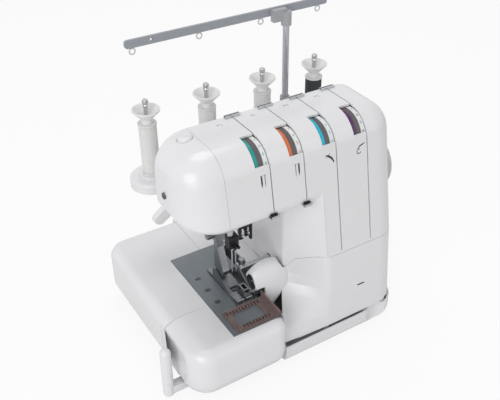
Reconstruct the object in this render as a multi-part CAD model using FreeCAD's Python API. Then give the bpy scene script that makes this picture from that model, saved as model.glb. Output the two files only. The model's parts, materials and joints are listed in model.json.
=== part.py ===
import FreeCAD, Part
import math
import os

# Serger overlock machine, as the separate pieces it comes apart into.
# Millimetres, +Z up, +X to the operator's right, +Y to the back.
# While drawing, X counts from the first thread slot, Y from the front panel's lower seam
# and Z from the table. place() then moves the origin to the middle of the footprint.

# Heights
FEET = 6.0
BASE_TOP = 28.0
FLOOR_T = 6.0
BED_TOP = 78.0
SEAM = 124.0
HEAD_BOTTOM = 192.0
HEAD_TOP = 275.0
# Widths and depths of the housing
NOSE_X = -97.0
FACE_SEAM_X = -52.0
PANEL_X = 62.0
THROAT_X = 30.0
RIGHT_X = 166.0
HEAD_BACK = 103.0
REAR_Y = 217.0
THROAT_Y = 42.0
LEAN_UP = 0.18
LEAN_LOW = 0.104
WALL = 2.5
SHOULDER = 33.0
RIGHT_ROUND = 30.0
NOSE_FRONT = 40.0
NOSE_TOP = 30.0
NOSE_BOTTOM = 22.0
NOSE_BACK = 20.0
HEAD_EDGE = 12.0
BACK_EDGE = 4.0
END_TURNS = (0, 20, 40, 58, 74, 86)
# Clearances, and how far a cutting shape reaches past the face it cuts
SEAM_GAP = 0.3
RUN = 0.05
LOOSE = 0.4
OVER = 5.0
# Thread path
SLOT_COUNT = 4
SLOT_PITCH = 40.9
SLOT_WIDTH = 1.4
SHORT_SLOT_END = 202.0
LONG_SLOT_END = 127.0
CLIP_Y = 94.5
CLIP_W = 18.0
CLIP_D = 4.0
CLIP_H = 3.0
THREAD_HOLE_Y = 87.0
THREAD_HOLE_R = 3.2
# Tension dials
DIAL_R = 25.5
DIAL_W = 15.0
DIAL_SET = 0.5
DIAL_Y = 50.0
DIAL_Z = 246.8
POST_R = 3.0
WINDOW_BACK = 5.0
WINDOW_DROP = 4.0
# Bed
BLOCK_FRONT = -22.0
BLOCK_BACK = 49.6
BLOCK_LEFT = -117.5
BLOCK_BOTTOM = 7.0
BLOCK_TOP_ROUND = 14.0
BLOCK_LOW_ROUND = 30.0
BLOCK_END = 26.0
CLOTH_LEFT = -118.0
CLOTH_BOTTOM = 28.0
CLOTH_ROUND = 12.0
CLOTH_CORNER = 24.0
CLOTH_RIGHT = -24.0
PLATE_LEFT = -64.0
PLATE_RIGHT = -2.5
PLATE_FRONT = -8.0
PLATE_BACK = 142.0
PLATE_T = 2.0
PLATE_ROUND = 2.0
HINGE_X = -133.0
HINGE_Y = 18.0
HINGE_R = 6.0
HINGE_PIN_R = 2.0
KNUCKLE_Z = 25.0
KNUCKLE_TOP = 74.0
BASE_FRONT = -13.0
BLOCK_INSIDE = 4.0
BASE_LEFT = -104.0
BASE_ROUND = 9.0
BASE_STEP = 1.0
BASE_SKEW = 4.0
BASE_LEFT_ROUND = 10.0
BASE_BACK_ROUND = 17.0
# Needle, foot and knife
NEEDLE_X = -26.0
NEEDLE_Y = 55.0
NEEDLE_BAR_X = -28.0
NEEDLE_BAR_Y = 58.0
BAR_R = 3.5
NEEDLE_GAP = 4.4
NEEDLE_R = 0.8
CLAMP_Z = 140.0
COLLAR_Z = 213.0
COLLAR_T = 4.0
FOOT_PIN_R = 1.5
HOLDER_W = 9.0
LOOPER_W = 6.0
UPPER_LOOPER_Y = 47.0
LOWER_LOOPER_Y = 56.0
FEED_TEETH = 12
LIFTER_TIP_X = -89.0
LIFTER_TIP_Z = 165.0
LIFTER_CRANK = 6.0
LIFTER_PIN_R = 1.5
LIFTER_START = 210.0
UPPER_REACH = 45.0
UPPER_RISE = 20.0
LOWER_REACH = 36.0
LOWER_RISE = 29.0
LOOPER_TIP = 1.5
LOOPER_ARM = 5.0
DISC_R = 11.0
GAUGE_LIFT = 0.3
GAUGE_BARREL = 1.9
BRACKET_H = 12.0
BRACKET_W = 18.0
NEEDLE_TIP = 104.0
FOOT_LEFT = -36.0
FOOT_RIGHT = -17.0
FOOT_T = 2.6
FOOT_SINK = 0.5
PRESSER_X = -30.0
PRESSER_Y = 82.0
FOOT_FRONT = 31.5
FOOT_BACK = 102.0
FOOT_PIN_Z = 90.0
LUG_RISE = 4.0
LUG_HALF = 6.0
CLAMP_HALF = 7.0
SHANK_HALF = 4.0
SHANK_TOE = 66.0
SHANK_SLOPE_TOP = 128.0
KNOB_R = 4.0
FRAME_W = 7.5
FRAME_H = 9.0
FRAME_T = 1.6
FRAME_FRONT = 37.5
FRAME_BACK = 49.0
RIB_FRONT = 50.0
KNIFE_Y = 70.0
KNIFE_Z = 92.0
KNIFE_SHAFT_R = 4.0
KNIFE_X = -14.0
KNIFE_T = 2.0
KNIFE_LIFT = 3.5
KNIFE_FRONT = 38.0
KNIFE_EDGE = -16.5
NOTCH_FRONT = 31.0
NOTCH_BACK = 90.0
KNIFE_BEARING_X = 36.0
GUIDE_Z = (200.0, 246.0)
GUIDE_T = 8.0
FEED_X = -30.0
FEED_ROWS = (-33.8, -26.2)
FEED_FRONT = 62.0
FEED_BACK = 92.0
FEED_BAR_Z = 62.0
LOWER_LOOPER_X = 18.0
LOWER_LOOPER_Z = 42.0
UPPER_LOOPER_X = 34.0
UPPER_LOOPER_Z = 52.0
LOOPER_BEARING_Y = 64.0
LOOPER_PIN_R = 3.0
LOOPER_HUB_R = 6.0
LIFTER_X = -19.0
LIFTER_Z = 214.4
LIFTER_R = 3.0
LIFTER_Y = 108.0
REGULATOR_X = -62.0
REGULATOR_Y = 84.0
REGULATOR_R = 8.0
GAUGE_LEFT = -58.0
GAUGE_RIGHT = -6.0
GAUGE_FRONT = -7.0
GAUGE_BACK = 29.5
GAUGE_T = 1.5
GAUGE_STRIP = 8.0
GAUGE_GRIP = 12.0
GAUGE_WIRE_STEP = 3.5
GAUGE_RISE = 10.0
GAUGE_HINGE_X = -3.6
GAUGE_WIRE = 0.9
# Looper cover
COVER_BOTTOM = 31.0
COVER_LEFT = 1.0
COVER_SLOPE = ((8.0, 0.3), (30.0, 11.0), (46.0, 37.5))
BASE_LIP = 29.2
BASE_LIP_T = 1.5
COVER_BACK = 44.0
SWEEP_LOW = 36.0
SWEEP_HIGH = 92.0
COVER_PIN_R = 1.5
COVER_SHIFT = 5.0
COVER_EARS = (70.0, 122.0)
COVER_POSTS = (60.0, 136.0)
EAR_W = 8.0
EAR_R = 2.6
POST_W = 5.0
GUARD_LEFT = -9.0
GUARD_LOW = 44.0
GUARD_MIDDLE = (14.0, 48.0, 74.0)
GUARD_RADII = (36.0, 18.0, 36.0)
GUARD_ROOM_Y = 44.0
GUARD_UNDER = 1.5
GUARD_BACK = 58.0
GUARD_OPEN = 82.0
GAUGE_CLEAR = 0.7
SCOOP_X = 132.0
SCOOP_R = 20.0
SCOOP_DEPTH = 9.0
# Drive
SHAFT_Y = 74.0
SHAFT_Z = 178.0
SHAFT_R = 5.0
WHEEL_R = 34.0
WHEEL_T = 15.0
MOTOR_Y = 155.0
MOTOR_Z = 78.0
MOTOR_R = 30.0
BELT_X = 130.0
BELT_W = 8.0
BELT_T = 2.0
BIG_PULLEY_R = 15.0
UPRIGHTS = (66.0, 140.0)
UPRIGHT_T = 8.0
ARM_LOW = 198.0
ARM_TOP = 262.0
ARM_LEFT = -56.0
BUSH_R = 8.0
STITCH_Y = 130.0
STITCH_Z = 120.0
STITCH_R = 16.0
STITCH_T = 9.0
STITCH_SHAFT_R = 3.0
SWITCH_Y = 150.0
SWITCH_Z = 52.0
SWITCH_W = 14.0
SWITCH_H = 22.0
SWITCH_R = 9.5
SWITCH_SINK = 7.5
INLET_Y = 184.0
INLET_W = 26.0
INLET_H = 22.0
CRANK_R = 13.0
MOTOR_X = 52.0
MOTOR_L = 56.0
MOTOR_SHAFT_R = 3.0
WHEEL_GRIPS = 20
# Fasteners and feet
BACK_SCREWS = (-30.0, 130.0)
BACK_SCREW_Z = 240.0
SCREW_R = 2.0
SCREW_HEAD = 3.6
SCREW_SLOT = 0.5
PLATE_SCREW_X = -52.0
PLATE_SCREWS = (48.7, 71.7, 94.7)
FACE_SCREW_Y = 66.0
FACE_SCREW_Z = 228.0
FOOT_PLACES = ((-85.0, 30.0), (-85.0, 195.0), (140.0, 24.0), (140.0, 195.0))
FOOT_R = 9.0
FRAME_BOSSES = ((-85.0, 45.0), (-85.0, 180.0), (135.0, 40.0), (135.0, 180.0))
BOSS_R = 7.0
SMALL_PULLEY_R = 9.0
# Spools and antenna
SPOOL_X = -67.0
SPOOL_PITCH = 73.8
SPOOL_Y = 165.0
TRAY_R = 25.0
TRAY_Z = 178.0
TRAY_H = 12.0
SEAT_R = 15.0
SEAT_H = 4.0
PIN_R = 2.5
PIN_TOP = 284.0
SPOOL_H = 62.0
SPOOL_R = 10.5
CAP_R = 15.5
CAP_Z = 271.0
CAP_T = 1.5
CORE_R = 8.0
CORE_BORE = 2.9
FLANGE_T = 2.0
THREAD_R = 0.9
THREAD_LAY = 0.1
TURNS = 22
POLE_X = 117.5
POLE_Y = 172.0
POLE_R = 3.8
TUBE_R = 6.0
TUBE_TOP = 236.0
BAR_TOP = 347.0
BAR_H = 9.0
BAR_T = 3.0
BAR_LEFT = -78.0
BAR_RIGHT = 178.0
BAR_BACK = 5.0
POLE_BOTTOM = 60.0
LOOP_X = -70.0
LOOP_PITCH = 78.5
LOOP_R = 3.2
LOOP_WIRE = 0.8

V = FreeCAD.Vector
X_DIR = V(1, 0, 0)
Y_DIR = V(0, 1, 0)
Z_DIR = V(0, 0, 1)
LEFT_X = HINGE_X - HINGE_R
WHEEL_X = RIGHT_X + 2.0
OUTER_X = WHEEL_X + WHEEL_T
ORIGIN = V((LEFT_X + OUTER_X) / 2, (BLOCK_FRONT + REAR_Y) / 2, 0)
COVER_HINGE_Y = COVER_BOTTOM * LEAN_LOW - SEAM * LEAN_LOW + WALL + COVER_PIN_R / 2
COVER_RELIEF = [(y, SEAM - drop) for y, drop in COVER_SLOPE]
SLOTS = [SLOT_PITCH * i for i in range(SLOT_COUNT)]
SPOOLS = [SPOOL_X + SPOOL_PITCH * i for i in range(SLOT_COUNT)]


def place(node, *solids):
    """Write one node, with its origin at the middle of the footprint."""
    shape = solids[0] if len(solids) == 1 else Part.makeCompound(list(solids))
    moved = shape.copy()
    moved.translate(-ORIGIN)
    moved.exportStep("parts/" + node + ".step")


def box(x0, x1, y0, y1, z0, z1):
    return Part.makeBox(x1 - x0, y1 - y0, z1 - z0, V(x0, y0, z0))


def rod(radius, x, y, z, length, axis=Z_DIR):
    return Part.makeCylinder(radius, length, V(x, y, z), axis)


def rounded_wire(points, radii):
    """Closed wire through the points, each corner turned with its own radius."""
    bends = []
    for i, point in enumerate(points):
        back = (points[i - 1] - point).normalize()
        ahead = (points[(i + 1) % len(points)] - point).normalize()
        half = back.getAngle(ahead) / 2
        reach = radii[i] / math.tan(half)
        middle = (back + ahead).normalize() * (radii[i] / math.sin(half) - radii[i])
        bends.append((point + back * reach, point + middle, point + ahead * reach))
    edges = []
    for i, (start, middle, end) in enumerate(bends):
        if radii[i] > 0:
            edges.append(Part.Arc(start, middle, end).toShape())
        edges.append(Part.makeLine(end, bends[(i + 1) % len(bends)][0]))
    return Part.Wire(edges)


def plan_wire(corners, z):
    return rounded_wire([V(x, y, z) for x, y, r in corners], [r for x, y, r in corners])


def plan_solid(corners, z0, z1):
    return Part.Face(plan_wire(corners, z0)).extrude(V(0, 0, z1 - z0))


def side_solid(corners, x0, x1):
    wire = rounded_wire([V(x0, y, z) for y, z, r in corners], [r for y, z, r in corners])
    return Part.Face(wire).extrude(V(x1 - x0, 0, 0))


def front_solid(corners, y0, y1):
    wire = rounded_wire([V(x, y0, z) for x, z, r in corners], [r for x, z, r in corners])
    return Part.Face(wire).extrude(V(0, y1 - y0, 0))


def fillet_edges(shape, radius, wanted):
    return shape.makeFillet(radius, [edge for edge in shape.Edges if wanted(edge)])


def panel_y(z):
    """The front panel's Y at a height: it leans back above the seam and less below it."""
    return (z - SEAM) * (LEAN_UP if z > SEAM else LEAN_LOW)


def end_loft(section, x_start, x_end):
    """A rounded end: sections along a quarter turn from x_start to x_end."""
    wires = []
    for degrees in END_TURNS:
        turn = math.radians(degrees)
        wires.append(section(x_start + (x_end - x_start) * math.sin(turn), 1 - math.cos(turn)))
    return Part.makeLoft(wires, True, False)


def housing_section(x, front, back, bottom, top, radii):
    """Section of the head or column in the YZ plane, leaning at the front."""
    points = [V(x, front + panel_y(bottom), bottom), V(x, front + panel_y(top), top)]
    points += [V(x, back, top), V(x, back, bottom)]
    return rounded_wire(points, radii)


def head_section(x, inset, wall):
    radii = (max(HEAD_EDGE - NOSE_BOTTOM * inset / 2 - wall, 1.0), SHOULDER - NOSE_TOP * inset - wall,
             BACK_EDGE - wall, BACK_EDGE - wall)
    return housing_section(x, NOSE_FRONT * inset + wall, HEAD_BACK - NOSE_BACK * inset - wall,
                           HEAD_BOTTOM + NOSE_BOTTOM * inset + wall, HEAD_TOP - NOSE_TOP * inset - wall,
                           radii)


def column_section(x, inset, wall, bottom):
    radii = (0, SHOULDER - RIGHT_ROUND * inset - wall, BACK_EDGE - wall, 0)
    return housing_section(x, RIGHT_ROUND * inset + wall, HEAD_BACK - wall, bottom,
                           HEAD_TOP - RIGHT_ROUND * inset - wall, radii)


def run_of(wire, x0, x1):
    return Part.Face(wire).extrude(V(x1 - x0, 0, 0))


def head_solid(x0, x1, wall):
    return run_of(head_section(x0, 0, wall), x0, x1)


def column_solid(x0, wall, bottom):
    straight = RIGHT_X - RIGHT_ROUND
    body = run_of(column_section(x0, 0, wall, bottom), x0, straight)
    end = end_loft(lambda x, inset: column_section(x, inset, wall, bottom), straight, RIGHT_X - wall)
    return body.fuse(end)


def dial_window(x):
    return box(x - DIAL_W - 1.6, x + 0.6, HEAD_EDGE, DIAL_Y + WINDOW_BACK, DIAL_Z - WINDOW_DROP,
               HEAD_TOP + OVER)


def thread_slot(x, end):
    half = SLOT_WIDTH / 2
    cut = box(x - half, x + half, -HEAD_EDGE, CLIP_Y, end, HEAD_TOP + OVER)
    keep = box(x - 5, x + 5, DIAL_Y + WINDOW_BACK, CLIP_Y, 0, HEAD_TOP - 2 * WALL)
    return cut.cut(keep)


def front_cover():
    x0 = FACE_SEAM_X + SEAM_GAP
    bottom = SEAM + SEAM_GAP
    outer = head_solid(x0, PANEL_X + WALL, 0).fuse(column_solid(PANEL_X, 0, bottom))
    inner = head_solid(x0 - 1, PANEL_X + 2 * WALL, WALL).fuse(column_solid(PANEL_X - 1, WALL, bottom - OVER))
    shell = outer.cut(inner).cut(box(x0 - OVER, RIGHT_X + OVER, HEAD_BACK - WALL - 2, HEAD_BACK + OVER, 0,
                                     HEAD_TOP - BACK_EDGE))
    for i, x in enumerate(SLOTS):
        shell = shell.cut(dial_window(x))
        shell = shell.cut(thread_slot(x, SHORT_SLOT_END if i < 2 else LONG_SLOT_END))
        shell = shell.cut(rod(THREAD_HOLE_R, x - SLOT_PITCH / 2, THREAD_HOLE_Y, HEAD_TOP - 9, 12))
    shaft_hole = rod(SHAFT_R + LOOSE, RIGHT_X - 3 * WALL, SHAFT_Y, SHAFT_Z, 6 * WALL, X_DIR)
    return shell.cut(cover_openings()).cut(shaft_hole)


def face_cover():
    outer = end_loft(lambda x, inset: head_section(x, inset, 0), FACE_SEAM_X, NOSE_X)
    inner = end_loft(lambda x, inset: head_section(x, inset, WALL), FACE_SEAM_X, NOSE_X + WALL)
    hole = rod(SCREW_R, NOSE_X - OVER, FACE_SCREW_Y, FACE_SCREW_Z, 15, X_DIR)
    dial_hole = rod(REGULATOR_R + LOOSE, REGULATOR_X, REGULATOR_Y, HEAD_TOP - 15, 20)
    return outer.cut(inner).cut(hole).cut(dial_hole)


def cover_openings():
    """Holes in the head's underside for the needle bar and the presser bar."""
    presser = rod(BAR_R + 3, PRESSER_X, PRESSER_Y, HEAD_BOTTOM - 3, 2 * WALL + 3)
    needle = rod(BAR_R + 3, NEEDLE_BAR_X, NEEDLE_BAR_Y, HEAD_BOTTOM - 3, 2 * WALL + 3)
    return presser.fuse(needle)


def throat_outline(z):
    """Chamfered inner wall of the column, from the front panel's edge to the back."""
    y = panel_y(z)
    x = PANEL_X - SEAM_GAP
    return plan_wire([(x, y, 0), (THROAT_X, THROAT_Y, 8), (THROAT_X, HEAD_BACK, 0),
                      (THROAT_X + WALL, HEAD_BACK, 0), (THROAT_X + WALL, THROAT_Y + 1, 6),
                      (x, y + 2 * WALL, 0)], z)


def throat_cover():
    upper = Part.makeLoft([throat_outline(SEAM + SEAM_GAP), throat_outline(HEAD_BOTTOM - SEAM_GAP)], True,
                          True)
    lower = box(THROAT_X, THROAT_X + WALL, THROAT_Y + WALL + 1, HEAD_BACK, BED_TOP + SEAM_GAP,
                SEAM + SEAM_GAP)
    top = SEAM + 2 * SEAM_GAP
    cheek = looper_shell(top).common(cover_relief(LOOSE))
    cheek = cheek.common(box(THROAT_X - WALL, PANEL_X - SEAM_GAP, -WALL, HEAD_BACK, BED_TOP, top))
    link = box(THROAT_X, THROAT_X + WALL, THROAT_Y, THROAT_Y + 2 * WALL, KNIFE_Z + 2 * WALL,
               SEAM + SEAM_GAP)
    opening = rod(KNIFE_SHAFT_R + 1.5, THROAT_X - 1, KNIFE_Y, KNIFE_Z, 2 * WALL, X_DIR)
    return upper.fuse([lower, cheek, link]).cut(opening)


def throat_edge(z):
    """Left edge of the looper cover: straight on with the front low down, swept back higher up."""
    rise = min(max((z - SWEEP_LOW) / (SWEEP_HIGH - SWEEP_LOW), 0.0), 1.0)
    swept = rise * rise * (3 - 2 * rise)
    front = panel_y(z) + WALL
    return COVER_LEFT + (THROAT_X - COVER_LEFT) * swept, front + (THROAT_Y - front) * swept


def looper_outline(z):
    """Looper cover in plan: swept left end, front and the rounded right corner, one wall thick."""
    y = panel_y(z)
    edge_x, edge_y = throat_edge(z)
    outside = [(edge_x, edge_y, 0), (PANEL_X, y, HEAD_EDGE), (RIGHT_X, y, RIGHT_ROUND),
               (RIGHT_X, COVER_BACK, 0)]
    inside = [(RIGHT_X - WALL, COVER_BACK, 0), (RIGHT_X - WALL, y + WALL, RIGHT_ROUND - WALL),
              (PANEL_X + 1, y + WALL, HEAD_EDGE - WALL), (edge_x + 1, edge_y + WALL, 0)]
    return plan_wire(outside + inside, z)


def looper_levels(top):
    middle = [SWEEP_LOW + (SWEEP_HIGH - SWEEP_LOW) * i / 5 for i in range(6)]
    return [COVER_BOTTOM] + middle + [top]


def looper_shell(top):
    """The looper cover's wall up to a height, before its upper edge falls away to the back."""
    return Part.makeLoft([looper_outline(z) for z in looper_levels(top)], True, True)


def cover_relief(gap):
    """Room over the looper cover's sloped upper edge, which lets it drop forward."""
    slope = [(y, z + gap, 0) for y, z in COVER_RELIEF]
    ends = [(HEAD_BACK, COVER_RELIEF[-1][1] + gap, 0), (HEAD_BACK, HEAD_BOTTOM, 0),
            (COVER_RELIEF[0][0], HEAD_BOTTOM, 0)]
    return side_solid(slope + ends, COVER_LEFT, RIGHT_X + 1)


def looper_cover():
    cover = looper_shell(SEAM - SEAM_GAP).cut(cover_relief(0))
    for x in COVER_EARS:
        ear = rod(EAR_R, x, COVER_HINGE_Y, COVER_BOTTOM, EAR_W, X_DIR)
        web = box(x, x + EAR_W, COVER_HINGE_Y - EAR_R + 0.2, COVER_HINGE_Y + EAR_R, COVER_BOTTOM,
                  COVER_BOTTOM + 2 * EAR_R)
        cover = cover.fuse(ear).fuse(web)
    groove = rod(COVER_PIN_R + RUN, 0, COVER_HINGE_Y, COVER_BOTTOM, RIGHT_X - RIGHT_ROUND + 20, X_DIR)
    return cover.cut(groove)


def looper_cover_pin():
    start = COVER_POSTS[0] - COVER_SHIFT - 1
    return rod(COVER_PIN_R, start, COVER_HINGE_Y, COVER_BOTTOM, COVER_POSTS[-1] + POST_W - start, X_DIR)


def guard_shape(wall):
    """Egg-shaped body of the knife guard, a wall thickness inside its outer face."""
    scale = FreeCAD.Matrix()
    scale.scale(*[radius - wall for radius in GUARD_RADII])
    egg = Part.makeSphere(1).transformGeometry(scale)
    egg.translate(V(*GUARD_MIDDLE))
    return egg


def knife_guard():
    """White dome over the upper knife, open towards the foot and carried by the looper cover."""
    dome = guard_shape(0).cut(guard_shape(WALL))
    dome = dome.common(box(GUARD_LEFT, PANEL_X, 0, GUARD_BACK, GUARD_LOW, HEAD_BOTTOM))
    column = Part.makeLoft([plan_wire(column_plan(z), z) for z in looper_levels(SEAM)], True, True)
    fixed = column.copy()
    fixed.translate(V(-COVER_SHIFT - LOOSE, -LOOSE, 0))
    looper_room = box(GUARD_LEFT - 1, PANEL_X, GUARD_ROOM_Y, GUARD_BACK + 1, 0, GUARD_OPEN)
    bed_room = box(GUARD_LEFT - 1, COVER_LEFT, 0, GUARD_BACK + 1, 0, BED_TOP + GUARD_UNDER)
    flange_top = BED_TOP + GAUGE_LIFT + GAUGE_RISE
    sweep = math.hypot(GAUGE_BACK - COVER_HINGE_Y, flange_top - COVER_BOTTOM) + GAUGE_CLEAR
    gauge_room = rod(sweep, GUARD_LEFT - 1, COVER_HINGE_Y, COVER_BOTTOM, COVER_LEFT - GUARD_LEFT + 1, X_DIR)
    return dome.cut(column).cut(fixed.common(cover_relief(0))).cut([looper_room, bed_room, gauge_room])


def column_plan(z):
    """Everything behind the looper cover's outer face, for pieces that end on it."""
    y = panel_y(z)
    edge_x, edge_y = throat_edge(z)
    return [(edge_x, edge_y, 0), (PANEL_X, y, HEAD_EDGE), (RIGHT_X, y, RIGHT_ROUND), (RIGHT_X, HEAD_BACK, 0),
            (edge_x, HEAD_BACK, 0)]


def rear_cover():
    """Back of the head, and the deep housing behind the column that holds the motor."""
    x0 = FACE_SEAM_X + SEAM_GAP
    y0 = HEAD_BACK + SEAM_GAP
    plate = front_solid([(x0, HEAD_BOTTOM, 3), (x0, HEAD_TOP - BACK_EDGE, 3),
                         (RIGHT_X, HEAD_TOP - BACK_EDGE, RIGHT_ROUND), (RIGHT_X, TRAY_Z - 10, 0),
                         (THROAT_X, TRAY_Z - 10, 0), (THROAT_X, HEAD_BOTTOM, 0)], y0, y0 + WALL)
    outer = plan_solid([(THROAT_X, y0, 0), (THROAT_X, REAR_Y, 16), (RIGHT_X, REAR_Y, 16), (RIGHT_X, y0, 0)],
                       BASE_TOP + SEAM_GAP, TRAY_Z - SEAM_GAP)
    top = TRAY_Z - SEAM_GAP
    outer = fillet_edges(outer, 10, lambda e: e.BoundBox.ZMin > top - 1 and e.BoundBox.YMax > y0 + 1)
    inner = plan_solid([(THROAT_X + WALL, y0 - 1, 0), (THROAT_X + WALL, REAR_Y - WALL, 13),
                        (RIGHT_X - WALL, REAR_Y - WALL, 13), (RIGHT_X - WALL, y0 - 1, 0)],
                       BASE_TOP - 1, top - WALL - 6)
    holes = rod(LIFTER_R + LOOSE, LIFTER_X, y0 - 1, LIFTER_Z, 2 * WALL, Y_DIR)
    holes = holes.fuse(rod(TUBE_R, POLE_X, POLE_Y, top - 20, 30))
    holes = holes.fuse(rod(STITCH_SHAFT_R + LOOSE, RIGHT_X - 2 * WALL, STITCH_Y, STITCH_Z, 3 * WALL, X_DIR))
    holes = holes.fuse(box(RIGHT_X - 2 * WALL, RIGHT_X + 1, SWITCH_Y - SWITCH_W / 2,
                           SWITCH_Y + SWITCH_W / 2,
                           SWITCH_Z - SWITCH_H / 2, SWITCH_Z + SWITCH_H / 2))
    holes = holes.fuse(box(RIGHT_X - 2 * WALL, RIGHT_X + 1, INLET_Y - INLET_W / 2, INLET_Y + INLET_W / 2,
                           SWITCH_Z - INLET_H / 2, SWITCH_Z + INLET_H / 2))
    side = box(RIGHT_X - WALL, RIGHT_X, COVER_BACK + LOOSE, y0 + 1, BASE_TOP + SEAM_GAP, SEAM)
    corner = looper_shell(SEAM).common(cover_relief(LOOSE))
    corner = corner.common(box(PANEL_X + 1, RIGHT_X + 1, 0, COVER_BACK, BED_TOP, SEAM))
    link = box(RIGHT_X - WALL, RIGHT_X, COVER_BACK - 1, COVER_BACK + 1, COVER_RELIEF[1][1], SEAM)
    side = side.fuse([corner, link])
    floor_gap = box(THROAT_X - 1, THROAT_X + 2 * WALL, 0, REAR_Y - 15, 0, BASE_TOP + FLOOR_T + SEAM_GAP)
    return plate.fuse(outer.cut(inner)).fuse(side).cut(holes).cut(floor_gap).fuse(switch_housing())


def block_section(x, inset, wall):
    points = [V(x, BLOCK_FRONT + BLOCK_END * inset + wall, BLOCK_BOTTOM + 18 * inset),
              V(x, BLOCK_FRONT + BLOCK_END * inset + wall, BED_TOP - BLOCK_TOP_ROUND * inset * 0.8 - wall),
              V(x, BLOCK_BACK + wall, BED_TOP - BLOCK_TOP_ROUND * inset * 0.8 - wall),
              V(x, BLOCK_BACK + wall, BLOCK_BOTTOM + 18 * inset)]
    radii = (BLOCK_LOW_ROUND * (1 - inset * 0.5) - wall, BLOCK_TOP_ROUND * (1 - inset * 0.5) - wall, 0, 0)
    return rounded_wire(points, radii)


def block_solid(wall):
    left = BLOCK_LEFT + BLOCK_END
    right = -BLOCK_END * 0.6
    body = run_of(block_section(left, 0, wall), left, right)
    body = body.fuse(end_loft(lambda x, inset: block_section(x, inset, wall), left, BLOCK_LEFT + wall))
    return body.fuse(end_loft(lambda x, inset: block_section(x, inset * 0.6, wall), right, -wall))


def front_bed_cover():
    shell = block_solid(0).cut(block_solid(WALL))
    shell = shell.cut(box(BLOCK_LEFT - OVER, OVER, BLOCK_FRONT - OVER, BLOCK_BACK + OVER, 0,
                          BLOCK_BOTTOM + 3))
    opening = box(PLATE_LEFT - SEAM_GAP, OVER, PLATE_FRONT - SEAM_GAP, BLOCK_BACK + OVER, BED_TOP - 12,
                  BED_TOP + OVER)
    notch = box(BLOCK_LEFT - OVER, BLOCK_LEFT + 20, HINGE_Y - 8, HINGE_Y + 8, 0, KNUCKLE_Z)
    wire_hole = rod(GAUGE_WIRE, GAUGE_HINGE_X, PLATE_FRONT - GAUGE_WIRE_STEP, BED_TOP - 12, 20)
    knife_gap = box(-2 * WALL, OVER, KNIFE_FRONT - 4, BLOCK_BACK + 1, BASE_TOP, BED_TOP + 1)
    frame_gap = box(BASE_LEFT - LOOSE, OVER, BLOCK_INSIDE - LOOSE, BLOCK_BACK + OVER, 0,
                    BASE_TOP + FLOOR_T + LOOSE)
    return shell.cut(opening).cut(notch).cut(wire_hole).cut(knife_gap).cut(frame_gap)


def cloth_plate():
    """Left cover of the bed, with the arm and knuckle that it swings on."""
    right = PLATE_LEFT - LOOSE
    front = BLOCK_BACK + LOOSE
    step = PLATE_BACK + LOOSE
    outer = plan_solid([(CLOTH_LEFT, front, 0), (CLOTH_LEFT, REAR_Y, CLOTH_CORNER), (CLOTH_RIGHT, REAR_Y, 0),
                        (CLOTH_RIGHT, step, 0), (right, step, 0), (right, front, 0)], CLOTH_BOTTOM, BED_TOP)
    inner = plan_solid([(CLOTH_LEFT + WALL, front - OVER, 0),
                        (CLOTH_LEFT + WALL, REAR_Y - WALL, CLOTH_CORNER - WALL),
                        (CLOTH_RIGHT + OVER, REAR_Y - WALL, 0), (CLOTH_RIGHT + OVER, step - OVER, 0),
                        (right + OVER, step - OVER, 0), (right + OVER, front - OVER, 0)],
                       CLOTH_BOTTOM - 1, BED_TOP - WALL)
    outer = fillet_edges(outer, CLOTH_ROUND, lambda e: outer_rim(e, BED_TOP, REAR_Y, front))
    inner = fillet_edges(inner, CLOTH_ROUND - WALL,
                         lambda e: outer_rim(e, BED_TOP - WALL, REAR_Y - WALL, front - OVER))
    apron = box(CLOTH_LEFT, right, front, front + WALL, BASE_TOP + FLOOR_T + LOOSE, BED_TOP - WALL / 2)
    shell = outer.cut(inner).fuse(apron.common(outer))
    gusset = front + 2 * HINGE_R
    arm = plan_solid([(CLOTH_LEFT, gusset, 0), (CLOTH_LEFT + WALL, gusset, 0), (CLOTH_LEFT + WALL, front, 0),
                      (CLOTH_LEFT, front, 0), (HINGE_X + HINGE_R / 2, HINGE_Y, 0),
                      (HINGE_X - HINGE_R / 2, HINGE_Y, 0), (CLOTH_LEFT - HINGE_R / 2, front, 0)],
                     CLOTH_BOTTOM + 2, KNUCKLE_TOP - HINGE_R)
    knuckle = rod(HINGE_R, HINGE_X, HINGE_Y, KNUCKLE_Z + SEAM_GAP, KNUCKLE_TOP - KNUCKLE_Z - HINGE_R)
    dome = Part.makeSphere(HINGE_R, V(HINGE_X, HINGE_Y, KNUCKLE_TOP - HINGE_R + SEAM_GAP))
    bore = rod(HINGE_PIN_R + RUN, HINGE_X, HINGE_Y, KNUCKLE_Z, KNUCKLE_TOP - KNUCKLE_Z - HINGE_R)
    return shell.fuse(arm).fuse(knuckle).fuse(dome).cut(bore)


def outer_rim(edge, top, back, front):
    """True for the long upper edges at the cloth plate's left side, corner and back."""
    bounds = edge.BoundBox
    at_left = bounds.XMax < CLOTH_LEFT + CLOTH_CORNER + 2 and bounds.YMax > front + 1
    upper = bounds.ZMin > top - 0.1 and bounds.DiagonalLength > CLOTH_ROUND
    return upper and (at_left or bounds.YMin > back - 1)


def cloth_plate_hinge_pin():
    return rod(HINGE_PIN_R, HINGE_X, HINGE_Y, FEET + 4, KNUCKLE_TOP - HINGE_R - FEET - 6)


def base_corners(right, wall):
    """Plan of the plinth, a wall thickness inside its outer face."""
    left, back = BASE_LEFT + wall, REAR_Y - wall
    return [(left, BLOCK_INSIDE + wall, BASE_LEFT_ROUND - wall), (BASE_STEP + wall, BLOCK_INSIDE + wall, 0),
            (BASE_STEP + wall, BASE_FRONT + wall, 0),
            (right - wall, BASE_FRONT + wall, RIGHT_ROUND + 1 - wall),
            (right - wall, back, BASE_BACK_ROUND - wall),
            (left, back - BASE_SKEW, BASE_LEFT_ROUND - wall)]


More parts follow.
